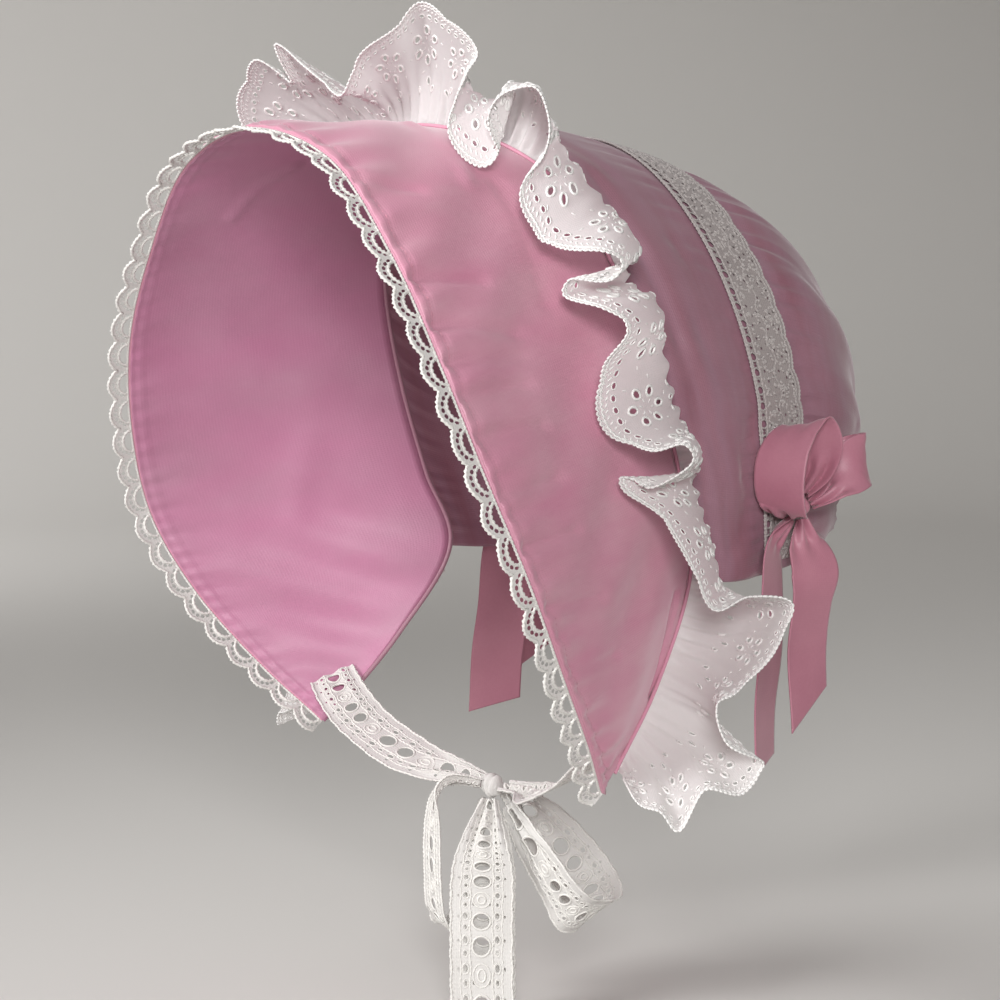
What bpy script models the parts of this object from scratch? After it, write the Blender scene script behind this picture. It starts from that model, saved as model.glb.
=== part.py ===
# Bonnet with a wide brim, an eyelet ruffle, a gathered crown, lace trims, side bows and a chin tie.
# Sizes are millimetres. The object faces -Y, the wearer's left is +X and +Z is up. The tables
# measure from the middle of the crown; the finished part is lowered so that its origin is SEAT, the
# place inside the crown's top where the bonnet sits on a head.

import math

import bmesh
import bpy
import numpy as np
from mathutils import Vector

MM = 0.001
SEAT = np.array([0.0, 0.0, 41.5])   # inside top of the crown in the tables' frame: the part's origin

# Driving dimensions, millimetres
CLOTH = 1.2               # outer cloth of brim and crown
LINING = 1.0              # satin lining of the brim
LACE = 1.0                # rim lace and crown band
FRILL = 1.0               # eyelet cotton of the ruffle
RIBBON = 1.0              # satin bows and lace chin tie
GAP = 0.4                 # clearance between pieces that touch
RIM_LACE_DEPTH = 10.5     # how far the edging stands beyond the brim
RIM_SCALLOP = 14.5        # pitch of its scallops
FRILL_SCALLOP = 30.0      # pitch of the ruffle's scallops
FRILL_SCALLOP_DEPTH = 3.0
EYELET = 4.0              # side of an eyelet cut through the ruffle

# Mesh resolution
BRIM_COLUMNS = 36
BRIM_ROWS = 4
CROWN_COLUMNS = 36
CROWN_ROWS_PER_SECTION = 2
RIBBON_STEPS = 11
FRILL_ROWS = (0.0, 0.34, 0.6, 0.66, 1.0)
EYELET_ROW = 2


def table(columns, *rows):
    """A short table: the names of its columns, then one row for each station or section."""
    return {name: np.array([row[i] for row in rows], float) for i, name in enumerate(columns.split())}


# Half of the brim, from the top centre to the tip beside the jaw; the other half mirrors it
BRIM = table(
    "rim_x rim_y rim_z back_x back_y back_z",
    (0, -200, 52, 0, -118, 54),
    (58, -197.5, 38, 42, -104, 45),
    (97, -194, 0, 71, -89, 22),
    (123, -190, -40, 90, -76, -18),
    (139, -180, -83, 96, -63, -60),
    (146.5, -166, -121, 95, -50, -101),
    (140, -146, -157, 88, -41, -136),
    (124, -120, -192, 96, -65, -177),
    (106, -99, -217, 102.5, -93, -210),
)
TIP = 8                   # station of the brim's tip
CORNER = 6                # station where the crown's hem meets the brim
BRIM_BULGE = 3.0

# Sections of the crown, from the seam to the nape; each is an arch from its top to its hem
CROWN = table(
    "top_y top_z half_width side_y side_z hem_x hem_y hem_z",
    (-118, 54, 96, -58, -66, 88, -41, -136),
    (-78, 57, 98, -34, -64, 89, -18, -138),
    (-32, 51, 90, -6, -62, 84, 4, -137),
    (2, 43, 86, 24, -64, 77, 30, -134),
    (38, 31, 82, 48, -68, 67, 51, -131),
    (72, 7, 70, 72, -74, 56, 64, -128),
    (94, -30, 55, 86, -84, 49, 74, -126),
    (100, -70, 45, 87, -102, 44, 79, -124),
    (96, -101, 40, 84, -116, 42, 80, -126),
)
SIDE_SHARE = 0.6          # share of an arch above its widest point
GATHER_DEPTH = 1.3        # ripples of the gathered crown
GATHERS = 11              # ripples in a half of the crown

# Turns of the ruffle's free edge, from the right side over the top to the left tip: the station on
# the seam where the ruffle is sewn, how far its edge is forward, outward and along from there, and
# how far the cloth between them swells up
RUFFLE = table(
    "station forward outward along lift",
    (-1.75, 54, 43, -22, 8),
    (-1.45, 49, 44, -42, 8),
    (-1.22, 39, 33, -27, 8),
    (-1.02, 47, 46, -30, 6),
    (-0.86, 37, 32, -27, 8),
    (-0.70, 30, 15, -32, 8),
    (-0.58, 27, 13, -32, 8),
    (-0.42, 24, 26, -33, 8),
    (-0.20, 18, 36, -30, 8),
    (0.02, 14, 50, 21, 8),
    (0.24, 17, 46, 21, 9),
    (0.42, 19, 36, 24, 11),
    (0.50, 28, 27, 20, 13),
    (0.57, 35, 17, 16, 17),
    (0.66, 42, 5, 14, 19),
    (0.80, 41, -2, 24, 21),
    (0.88, 38, 5, 26, 21),
    (0.94, 38, 19, 16, 21),
    (1.00, 32, 29, 13, 17),
    (1.14, 25, 38, 15, 13),
    (1.30, 29, 32, 19, 11),
    (1.44, 35, 24, 18, 15),
    (1.62, 47, 13, 12, 18),
    (1.86, 49, 10, 16, 18),
    (2.12, 50, 12, 16, 17),
    (2.38, 41, 28, 16, 12),
    (2.50, 36, 30, 18, 11),
    (2.66, 43, 27, 12, 14),
    (2.80, 54, 17, -3, 8),
    (2.92, 55, 12, -5, 8),
    (3.08, 49, 22, -4, 14),
    (3.26, 45, 25, -2, 13),
    (3.50, 52, 13, -5, 14),
    (3.75, 56, 7, -7, 14),
    (4.02, 56, 8, -3, 12),
    (4.20, 50, 20, -3, 9),
    (4.34, 42, 30, -9, 6),
    (4.47, 42, 30, -7, 8),
    (4.63, 53, 16, -10, 12),
    (4.75, 57, 5, -22, 13),
    (4.86, 57, 5, -21, 13),
    (5.10, 50, 12, -24, 10),
    (5.42, 47, 20, -25, 9),
    (5.86, 50, 31, 4, 8),
    (6.07, 41, 44, 5, 8),
    (6.28, 29, 58, 1, 8),
    (6.45, 27, 55, 15, 8),
    (6.65, 31, 47, 27, 9),
    (6.79, 37, 42, 30, 10),
    (6.95, 30, 48, 32, 9),
    (7.12, 16, 61, 21, 8),
    (7.28, 19, 57, 28, 8),
    (7.43, 30, 45, 30, 8),
    (7.58, 23, 40, 39, 6),
    (7.70, 28, 30, 32, 5),
    (7.82, 24, 17, 24, 3),
    (7.94, 16, 2, 8, 1),
)
FAR_SIDE_FROM = 24        # row from which the hidden side repeats the near side
FRILL_STEPS = 40          # samples between two turns of the edge

# Ribbon paths: the middle of the ribbon, and the vector across it from edge to edge, which is
# short where the ribbon is bunched at a knot. Bow places are measured from the middle of its knot
BOW_LOOP_UP = table(
    "forward up out wide_forward wide_up wide_out",
    (6.4, 0, 1, 1, 0, 6),
    (12, -3, 6.5, 2, 0, 13),
    (20, 0, 12.8, 3, 0, 23),
    (24, 12, 14, 2, 1, 25),
    (22, 26, 14, 1, 2, 25),
    (14, 37, 13, 0, 2, 25),
    (3, 39, 13, -1, 1, 25),
    (-4, 30, 13, -1, 1, 25),
    (-5, 18, 10, -1, 0, 19),
    (-0.5, 6.6, 2, 0, 0, 8),
)
BOW_LOOP_BACK = table(
    "forward up out wide_forward wide_up wide_out",
    (-6.1, 1, 1.2, -1, 5, 1),
    (-11, 5, 6, -7, 11, -3),
    (-17, 10, 9, -10, 16, -6),
    (-24, 14, 11, -8, 19, -6),
    (-32, 17, 10, -4, 21, -4),
    (-35, 17, 4, -3, 21, -3),
    (-31, 15, -1, -4, 19, -4),
    (-18, 9, -2, -4, 11, -4),
    (-7.2, 2.6, -2.2, -1, 5, -1),
)
BOW_TAIL_LONG = table(
    "forward up out wide_forward wide_up wide_out",
    (-1.2, -5.4, 1, -7, 0, 1),
    (-2, -16, 3, -20, -1, 2),
    (-5, -28, 6, -24, -2, 4),
    (-4, -42, 6, -25, 0, -3),
    (-1, -62, 6, -25, -1, -4),
    (1, -87, 9, -24, 3, -5),
)
BOW_TAIL_SHORT = table(
    "forward up out wide_forward wide_up wide_out",
    (5, -4.9, 1.2, -3.6, 0, -1.4),
    (15, -16, 3, -19, -2, -11),
    (19, -35, 5, -22, -2, -12),
    (21, -61, 6, -22, -2, -12),
    (24, -84, 7, -22, -2, -12),
    (25, -109, 8, -21, -5, -12),
)
BOW_KNOT = (4.0, 6.0, 5.0)      # half sizes: outward, forward and up
BOW_AT = (5.07, 2.62)           # crown station and section under the knot
BOW_LIFT = 5.8                  # middle of the knot above the crown

TIE_KNOT = (0.0, -78.7, -232.4)
TIE_KNOT_SIZE = (6.0, 5.0, 6.0)   # half sizes: sideways, forward and up
TIE_STRAP = table(
    "x y z wide_x wide_y wide_z",
    (105.5, -95.7, -194.2, -10, 19, 6),
    (93, -96, -204, -6, 23, 6),
    (78, -93, -215, -2, 26, 6),
    (50, -88, -226, 0, 26, 7),
    (24, -77, -231, 0, 13, 4),
    (6.2, -76.5, -232.4, 0, 8, 3),
)
TIE_LOOP_LEFT = table(
    "x y z wide_x wide_y wide_z",
    (2.4, -72.7, -234.3, 0, 5, 5),
    (9, -60, -249, 5, 15, 14),
    (16, -47, -267, 6, 21, 16),
    (23, -42, -279, 9, 19, 18),
    (31, -44, -287, 17, 12, 18),
    (33, -55, -288, 20, 5, 18),
    (30, -63, -279, 22, -3, 17),
    (22, -69, -264, 21, -3, 14),
    (7.6, -75.4, -240.2, 5, 1, 4),
)
TIE_LOOP_RIGHT = table(
    "x y z wide_x wide_y wide_z",
    (-3.7, -82.8, -231.4, 4, -4, 3),
    (-12, -92, -231, 13, -10, 7),
    (-18, -96, -239, 22, -11, 6),
    (-20, -97, -255, 25, -9, 2),
    (-19, -98, -274, 25, -9, 2),
    (-18, -97, -290, 25, -9, 2),
    (-18, -90, -297, 24, -12, -1),
    (-17, -83, -285, 24, -10, 2),
    (-15, -79, -262, 19, -7, 2),
    (-9, -77, -241, 8, -4, 1),
)
TIE_TAIL_FRONT = table(
    "x y z wide_x wide_y wide_z",
    (1.6, -81, -238.3, 5, 4, 0),
    (7, -88, -254, 14, 14, 0),
    (8, -90, -269, 18, 21, 0),
    (10, -92, -295, 19, 21, 0),
    (12, -93, -334, 19, 21, 0),
)
TIE_TAIL_BACK = table(
    "x y z wide_x wide_y wide_z",
    (-1.8, -79.5, -239, 5, 4, 0),
    (4, -84, -254, 14, 14, 0),
    (4, -86, -269, 18, 21, 0),
    (6, -88, -295, 19, 21, 0),
    (8, -89, -330, 19, 21, 0),
)


# Curves through tables

def along(values, t):
    """Smooth curve through evenly numbered values (a column, or an array of points) at place t."""
    last = len(values) - 1
    t = min(max(t, 0.0), float(last))
    i = min(int(t), last - 1)
    f = t - i
    b, c = values[i], values[i + 1]
    a = values[i - 1] if i > 0 else 2 * b - c
    d = values[i + 2] if i + 2 <= last else 2 * c - b
    return 0.5 * (2 * b + (c - a) * f + (2 * a - 5 * b + 4 * c - d) * f ** 2 + (3 * b - a - 3 * c + d) * f ** 3)


def unit(v):
    return v / np.linalg.norm(v)


def mirrored(v):
    return v * np.array([-1.0, 1.0, 1.0])


def both_sides(points):
    """The half's points and their mirror images, as one row from right tip to left tip."""
    return np.vstack([points[:0:-1] * np.array([-1.0, 1.0, 1.0]), points])


RIM_LINE = both_sides(np.stack([BRIM["rim_x"], BRIM["rim_y"], BRIM["rim_z"]], -1))
BACK_LINE = both_sides(np.stack([BRIM["back_x"], BRIM["back_y"], BRIM["back_z"]], -1))


# Brim

def rim_at(station):
    return along(RIM_LINE, station + TIP)


def back_at(station):
    return along(BACK_LINE, station + TIP)


def seam_frame(station):
    """Place on the seam, and the directions along it to the tip, forward on the brim, and outward."""
    s = abs(station)
    step = 0.02
    run = unit(back_at(min(s + step, TIP)) - back_at(max(s - step, -TIP)))
    forward = rim_at(s) - back_at(s)
    forward = unit(forward - forward.dot(run) * run)
    outward = unit(np.cross(forward, run))
    frame = (back_at(s), run, forward, outward)
    return frame if station >= 0 else tuple(mirrored(v) for v in frame)


def brim_point(station, share):
    """Point of the brim's outer face: share 0 at the rim and 1 at the back."""
    _, _, _, outward = seam_frame(station)
    taper = min(1.0, (TIP - abs(station)) / 2)
    bulge = BRIM_BULGE * 4 * share * (1 - share) * taper
    return rim_at(station) * (1 - share) + back_at(station) * share + outward * bulge


def brim_skin(station, share, depth):
    """Point at a depth under the brim's outer face, measured along the face's own normal."""
    step = 0.04
    tip = TIP - 2 * step
    s = min(max(station, -tip), tip)
    m = min(max(share, step), 1 - step)
    run = brim_point(s + step, m) - brim_point(s - step, m)
    back = brim_point(s, m + step) - brim_point(s, m - step)
    return brim_point(station, share) - unit(np.cross(run, back)) * depth


# Crown

def arch(section, s):
    """Point of a crown section, s from 0 at its top to 1 at its left hem."""
    at = {name: along(column, section) for name, column in CROWN.items()}
    if s <= SIDE_SHARE:
        angle = 0.5 * math.pi * s / SIDE_SHARE
        drop = 1 - math.cos(angle)
        x = at["half_width"] * math.sin(angle)
        y = at["top_y"] + (at["side_y"] - at["top_y"]) * drop
        z = at["top_z"] + (at["side_z"] - at["top_z"]) * drop
    else:
        low = (s - SIDE_SHARE) / (1 - SIDE_SHARE)
        x = at["half_width"] + (at["hem_x"] - at["half_width"]) * low ** 2
        y = at["side_y"] + (at["hem_y"] - at["side_y"]) * low
        z = at["side_z"] + (at["hem_z"] - at["side_z"]) * low
    return np.array([x, y, z])


def smooth_crown(station, section):
    """The crown without its gathers; its first section follows the brim's seam."""
    s = abs(station) / CORNER
    p = arch(section, s)
    hold = max(0.0, 1 - section / 2) ** 2
    p = p + (back_at(abs(station)) - arch(0, s)) * hold
    return p if station >= 0 else mirrored(p)


def crown_normal(station, section):
    step = 0.05
    last = len(CROWN["top_y"]) - 1
    across = smooth_crown(min(station + step, CORNER), section) - smooth_crown(max(station - step, -CORNER), section)
    back = smooth_crown(station, min(section + step, last)) - smooth_crown(station, max(section - step, 0))
    return unit(np.cross(across, back))


def crown_point(station, section, lift=0.0):
    """The crown with gathers, deepest between the seam, the lace band and the nape."""
    front = math.sin(math.pi * min(section, 2) / 2)
    rear = math.sin(math.pi * max(section - 3, 0) / 5)
    ripple = GATHER_DEPTH * math.sin(math.pi * GATHERS * abs(station) / CORNER) * max(front, rear)
    return smooth_crown(station, section) + crown_normal(station, section) * (lift + ripple)


# Ruffle

def ruffle_edge():
    """Turns of the ruffle's edge from right tip to left tip: stations, points and swell."""
    points = []
    for station, forward, outward, run in zip(*(RUFFLE[n] for n in ("station", "forward", "outward", "along"))):
        root, t, f, n = seam_frame(station)
        points.append(root + f * forward + n * outward + t * run)
    points = np.array(points)
    far = slice(None, FAR_SIDE_FROM - 1, -1)
    stations = np.concatenate([-RUFFLE["station"][far], RUFFLE["station"]])
    lifts = np.concatenate([RUFFLE["lift"][far], RUFFLE["lift"]])
    return stations, np.vstack([points[far] * np.array([-1.0, 1.0, 1.0]), points]), lifts


def ruffle_columns():
    """Even columns along the ruffle's edge: three to a scallop, the middle one an eyelet wide."""
    stations, turns, lifts = ruffle_edge()
    steps = np.linspace(0, len(turns) - 1, (len(turns) - 1) * FRILL_STEPS + 1)
    line = np.array([along(turns, t) for t in steps])
    rows = np.arange(len(turns))
    length = np.concatenate([[0], np.cumsum(np.linalg.norm(np.diff(line, axis=0), axis=1))])
    scallops = round(length[-1] / FRILL_SCALLOP)
    pitch = length[-1] / scallops
    inside = (0, (pitch - EYELET) / 2, (pitch + EYELET) / 2)
    places = [n * pitch + part for n in range(scallops) for part in inside] + [length[-1]]
    columns = []
    for place in places:
        edge = np.array([np.interp(place, length, line[:, axis]) for axis in range(3)])
        row = np.interp(place, length, steps)
        columns.append((np.interp(row, rows, stations), edge, np.interp(row, rows, lifts), place / pitch))
    print("ruffle edge", round(length[-1]), "mm,", scallops, "scallops")
    return columns


def ruffle_point(column, share):
    """Point of the ruffle, share 0 at the seam and 1 at the free edge."""
    station, edge, lift, phase = column
    root, _, forward, outward = seam_frame(station)
    root = root + outward * (GAP + FRILL / 2)
    reach = edge - root
    ahead = unit(reach)
    trim = FRILL_SCALLOP_DEPTH * (1 - abs(math.sin(math.pi * phase))) / np.linalg.norm(reach)
    share = share * (1 - trim)
    swell = outward * 0.95 - forward * 0.2
    swell = unit(swell - swell.dot(ahead) * ahead)
    elbow = root + reach * 0.4 + swell * lift * 2
    return root * (1 - share) ** 2 + elbow * 2 * share * (1 - share) + edge * share ** 2


# Mesh building

def collection(name):
    made = bpy.data.collections.new(name)
    bpy.context.scene.collection.children.link(made)
    return made


def finish(name, colour, roughness, metallic=0.0):
    material = bpy.data.materials.new(name)
    material.use_nodes = True
    shader = material.node_tree.nodes["Principled BSDF"]
    shader.inputs["Base Color"].default_value = (*colour, 1.0)
    shader.inputs["Roughness"].default_value = roughness
    shader.inputs["Metallic"].default_value = metallic
    return material


def cloth(name, grid, thickness, material, holes=(), side=0.0):
    """A sheet from a grid of points, left open at the named cells, thickened into a wall."""
    grid = np.array(grid)
    rows, columns = grid.shape[:2]
    bm = bmesh.new()
    corners = bmesh.ops.create_grid(bm, x_segments=rows - 1, y_segments=columns - 1, size=1.0)["verts"]
    for vert in corners:
        i = round((vert.co.x + 1) / 2 * (rows - 1))
        j = round((vert.co.y + 1) / 2 * (columns - 1))
        vert.co = Vector((grid[i, j] - SEAT) * MM)
        vert.index = i * columns + j
    cut = {i * columns + j for i, j in holes}
    gone = [face for face in bm.faces if min(v.index for v in face.verts) in cut]
    bmesh.ops.delete(bm, geom=gone, context="FACES")
    mesh = bpy.data.meshes.new(name)
    bm.to_mesh(mesh)
    bm.free()
    mesh.shade_smooth()
    mesh.materials.append(material)
    piece = bpy.data.objects.new(name, mesh)
    wall = piece.modifiers.new("wall", "SOLIDIFY")
    wall.thickness = thickness * MM
    wall.offset = side
    wall.use_even_offset = False
    return piece


def ribbon(name, path, material, place, cut=0.0):
    """A flat ribbon along a table of points; place turns its columns into positions."""
    names = list(path)
    middles = np.array([place(*row) for row in zip(*(path[n] for n in names[:3]))])
    origin = place(0, 0, 0)
    across = np.array([place(*row) - origin for row in zip(*(path[n] for n in names[3:]))])
    last = len(middles) - 1
    grid = []
    for n in range(RIBBON_STEPS + 1):
        t = n / RIBBON_STEPS * last
        middle, wide = along(middles, t), along(across, t)
        ahead = unit(along(middles, min(t + 0.05, last)) - along(middles, max(t - 0.05, 0)))
        side = unit(wide - wide.dot(ahead) * ahead) * np.linalg.norm(wide) / 2
        slant = ahead * cut * max(0.0, n / RIBBON_STEPS - 0.7) / 0.3
        grid.append([middle - side + slant, middle + side - slant])
    return cloth(name, grid, RIBBON, material)


def knot(name, centre, size, material):
    """A rounded knot from a low sphere, stretched along X, Y and Z."""
    bm = bmesh.new()
    bmesh.ops.create_uvsphere(bm, u_segments=10, v_segments=6, radius=1.0)
    for vert in bm.verts:
        vert.co = Vector((np.array(vert.co) * size + centre - SEAT) * MM)
    mesh = bpy.data.meshes.new(name)
    bm.to_mesh(mesh)
    bm.free()
    mesh.shade_smooth()
    mesh.materials.append(material)
    return bpy.data.objects.new(name, mesh)


# Pieces

def brim_wall(name, depth, thickness, material):
    grid = []
    for n in range(BRIM_COLUMNS + 1):
        station = -TIP + 2 * TIP * n / BRIM_COLUMNS
        grid.append([brim_skin(station, m / BRIM_ROWS, depth) for m in range(BRIM_ROWS + 1)])
    return cloth(name, grid, thickness, material)


def rim_lace(material):
    """Edging of scallops, three steps each, with a gap cut through behind every scallop."""
    steps = np.linspace(-TIP, TIP, 801)
    line = np.array([rim_at(s) for s in steps])
    length = np.concatenate([[0], np.cumsum(np.linalg.norm(np.diff(line, axis=0), axis=1))])
    scallops = round(length[-1] / RIM_SCALLOP)
    depths = (0.0, 0.18, 0.62, 1.0)
    outline = (0.74, 1.0, 1.0)
    inside = (0.0, 0.27, 0.73)
    grid = []
    holes = []
    for n in range(scallops * 3 + 1):
        part = n % 3
        place = (n // 3 + inside[part]) / scallops * length[-1]
        station = np.interp(place, length, steps)
        _, run, forward, outward = seam_frame(station)
        away = np.array([0.0, -1.0, 0.0]) * 0.7 + forward * 0.3
        tangent = unit(rim_at(min(station + 0.02, TIP)) - rim_at(max(station - 0.02, -TIP)))
        away = unit(away - away.dot(tangent) * tangent)
        start = rim_at(station) - outward * (CLOTH + GAP / 2) + away * (GAP + LACE / 2)
        reach = RIM_LACE_DEPTH * outline[part]
        grid.append([start + away * reach * d for d in depths])
        if part == 1:
            holes.append((n, 1))
    print("rim lace", round(length[-1]), "mm,", scallops, "scallops")
    return cloth("rim_lace", grid, LACE, material, holes)


def ruffle(material):
    columns = ruffle_columns()
    grid = [[ruffle_point(column, share) for share in FRILL_ROWS] for column in columns]
    holes = [(n, EYELET_ROW) for n in range(1, len(columns) - 1, 3)]
    return cloth("ruffle", grid, FRILL, material, holes)


def crown(material):
    sections = len(CROWN["top_y"]) - 1
    rows = sections * CROWN_ROWS_PER_SECTION
    grid = []
    for n in range(CROWN_COLUMNS + 1):
        station = -CORNER + 2 * CORNER * n / CROWN_COLUMNS
        line = []
        for m in range(rows + 1):
            p = crown_point(station, m / CROWN_ROWS_PER_SECTION, -CLOTH / 2)
            start = np.array([0.0, CLOTH / 2 + GAP, 0.0]) if m == 0 else 0.0
            line.append(p + start)
        grid.append(line)
    return cloth("crown", grid, CLOTH, material)


def crown_lace_band(material):
    """Flat lace over the crown, from bow to bow, with a scalloped back edge."""
    grid = []
    last = round(CROWN_COLUMNS * 5.2 / CORNER / 2)
    for n in range(-last, last + 1):
        station = n * 2 * CORNER / CROWN_COLUMNS
        lift = LACE / 2 + GAP + 0.1
        back = 2.93 + (0.0 if n % 2 else 0.07)
        grid.append([crown_point(station, section, lift) for section in (2.0, 2.5, back)])
    return cloth("crown_lace_band", grid, LACE, material)


def side_bow(side, material):
    """Bow of two loops, knot and two tails beside the nape; side is 1 on the left, -1 on the right."""
    name = "bow_left" if side > 0 else "bow_right"
    centre = crown_point(*BOW_AT, BOW_LIFT)

    def place(forward, up, out):
        p = centre + np.array([out, -forward, up])
        return p if side > 0 else mirrored(p)

    middle = centre if side > 0 else mirrored(centre)
    return [
        ribbon(f"{name}_loop_up", BOW_LOOP_UP, material, place),
        ribbon(f"{name}_loop_back", BOW_LOOP_BACK, material, place),
        ribbon(f"{name}_tail_long", BOW_TAIL_LONG, material, place, cut=10),
        ribbon(f"{name}_tail_short", BOW_TAIL_SHORT, material, place, cut=4),
        knot(f"{name}_knot", middle, BOW_KNOT, material),
    ]


def chin_tie(material):
    """Straps from both tips of the brim to a knot under the chin, with two loops and two tails."""
    def place(x, y, z):
        return np.array([x, y, z], float)

    def place_right(x, y, z):
        return np.array([-x, y, z], float)

    return [
        ribbon("tie_strap_left", TIE_STRAP, material, place),
        ribbon("tie_strap_right", TIE_STRAP, material, place_right),
        ribbon("tie_loop_left", TIE_LOOP_LEFT, material, place),
        ribbon("tie_loop_right", TIE_LOOP_RIGHT, material, place),
        ribbon("tie_tail_front", TIE_TAIL_FRONT, material, place),
        ribbon("tie_tail_back", TIE_TAIL_BACK, material, place),
        knot("tie_knot", TIE_KNOT, TIE_KNOT_SIZE, material),
    ]


def main():
    for old in list(bpy.data.objects):
        bpy.data.objects.remove(old, do_unlink=True)
    parts = collection("bonnet")
    pink = finish("pink_cloth", (0.52, 0.22, 0.29), 0.6)
    satin = finish("lining_satin", (0.50, 0.16, 0.29), 0.45)
    lace = finish("ivory_lace", (0.80, 0.77, 0.70), 0.8)
    cotton = finish("eyelet_cotton", (0.83, 0.81, 0.79), 0.8)
    ribbon_satin = finish("bow_satin", (0.68, 0.27, 0.34), 0.4)
    pieces = [
        brim_wall("brim_shell", CLOTH / 2, CLOTH, pink),
        brim_wall("brim_lining", CLOTH + GAP + LINING / 2, LINING, satin),
        rim_lace(lace),
        ruffle(cotton),
        crown(pink),
        crown_lace_band(lace),
        *side_bow(1, ribbon_satin),
        *side_bow(-1, ribbon_satin),
        *chin_tie(lace),
    ]
    for piece in pieces:
        parts.objects.link(piece)


main()
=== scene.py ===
# %% [markdown]
# # A bonnet with a brim, an eyelet frill, lace and bows
# This bonnet frames the face with a wide pink brim. A wavy frill of white eyelet cotton stands on
# the seam between brim and crown, ivory crochet edges the rim, a flat lace lies over the gathered
# crown, and satin bows and an ivory lace chin tie finish it. The frame gives the plain solids. Here
# each cloth is made again as a fine sheet: first it is drawn flat, as it was cut, and then it is
# bent onto the shape that it has on the bonnet. Sizes are millimetres until a mesh is made.

import math

import bpy
import numpy as np
from mathutils import Matrix, Vector
from mathutils.geometry import delaunay_2d_cdt


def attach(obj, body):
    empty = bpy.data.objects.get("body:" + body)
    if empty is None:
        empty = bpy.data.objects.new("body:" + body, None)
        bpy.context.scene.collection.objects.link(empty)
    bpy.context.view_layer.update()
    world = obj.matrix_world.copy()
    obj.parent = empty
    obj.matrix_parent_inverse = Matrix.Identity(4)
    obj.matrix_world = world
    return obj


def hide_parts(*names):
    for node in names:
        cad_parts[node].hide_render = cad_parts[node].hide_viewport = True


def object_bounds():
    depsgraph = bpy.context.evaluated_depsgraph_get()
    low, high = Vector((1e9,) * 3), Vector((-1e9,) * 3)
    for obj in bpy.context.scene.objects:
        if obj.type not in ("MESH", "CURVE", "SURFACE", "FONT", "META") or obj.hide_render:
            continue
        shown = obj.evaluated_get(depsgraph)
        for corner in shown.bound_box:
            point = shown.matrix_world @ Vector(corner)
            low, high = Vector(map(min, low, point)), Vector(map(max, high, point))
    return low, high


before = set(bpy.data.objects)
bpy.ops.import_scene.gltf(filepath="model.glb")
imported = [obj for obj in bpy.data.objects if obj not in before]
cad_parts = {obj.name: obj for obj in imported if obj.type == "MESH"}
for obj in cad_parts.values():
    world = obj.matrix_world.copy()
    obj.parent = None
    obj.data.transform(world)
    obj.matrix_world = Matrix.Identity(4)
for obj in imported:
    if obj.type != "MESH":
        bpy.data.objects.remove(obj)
solid_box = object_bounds()
MM = 0.001
SEAT = np.array([0.0, 0.0, 41.5])   # the part's origin, inside the crown's top, in these tables
print("solids:", len(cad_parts), "box", [[round(v, 3) for v in corner] for corner in solid_box])

# %% [markdown]
# ## The bonnet's own lines
# A milliner works from a few patterns. Here they are short tables. One gives the brim between its
# rim and its back seam, one gives sections of the crown, and one gives the turns of the frill's
# free edge. They are the same tables that the solids are made from, so the cloth lies where they do.

# %% Sizes
CLOTH = 1.2               # outer cloth
LINING = 1.0              # lining
GAP = 0.4                 # air between two cloths
RIM_LACE_DEPTH = 10.5
RIM_SCALLOP = 14.5
FRILL_WIDTH = 60.0        # cut width of the frill, from seam to edge
FRILL_SCALLOP = 30.0
FRILL_SCALLOP_DEPTH = 3.0
TIE_WIDTH = 28.0          # lace ribbon of the chin tie
BRIM_RUN = 46             # cloth along the brim from one station to the next
CROWN_RUN = 37            # and along the crown
FULL_TURN = 2 * math.pi


def table(columns, *rows):
    """A short table: the names of its columns, then one row for each station or section."""
    return {name: np.array([row[i] for row in rows], float) for i, name in enumerate(columns.split())}


# Half of the brim, from the top centre to the tip beside the jaw; the other half mirrors it
BRIM = table(
    "rim_x rim_y rim_z back_x back_y back_z",
    (0, -200, 52, 0, -118, 54),
    (58, -197.5, 38, 42, -104, 45),
    (97, -194, 0, 71, -89, 22),
    (123, -190, -40, 90, -76, -18),
    (139, -180, -83, 96, -63, -60),
    (146.5, -166, -121, 95, -50, -101),
    (140, -146, -157, 88, -41, -136),
    (124, -120, -192, 96, -65, -177),
    (106, -99, -217, 102.5, -93, -210),
)
TIP = 8                   # station of the brim's tip
CORNER = 6                # station where the crown's hem meets the brim
BRIM_BULGE = 3.0

# Sections of the crown, from the seam to the nape; each is an arch from its top to its hem
CROWN = table(
    "top_y top_z half_width side_y side_z hem_x hem_y hem_z",
    (-118, 54, 96, -58, -66, 88, -41, -136),
    (-78, 57, 98, -34, -64, 89, -18, -138),
    (-32, 51, 90, -6, -62, 84, 4, -137),
    (2, 43, 86, 24, -64, 77, 30, -134),
    (38, 31, 82, 48, -68, 67, 51, -131),
    (72, 7, 70, 72, -74, 56, 64, -128),
    (94, -30, 55, 86, -84, 49, 74, -126),
    (100, -70, 45, 87, -102, 44, 79, -124),
    (96, -101, 40, 84, -116, 42, 80, -126),
)
SIDE_SHARE = 0.6          # share of an arch above its widest point
GATHER_DEPTH = 1.3        # ripples of the gathered crown
GATHERS = 11              # ripples in a half of the crown
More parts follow.
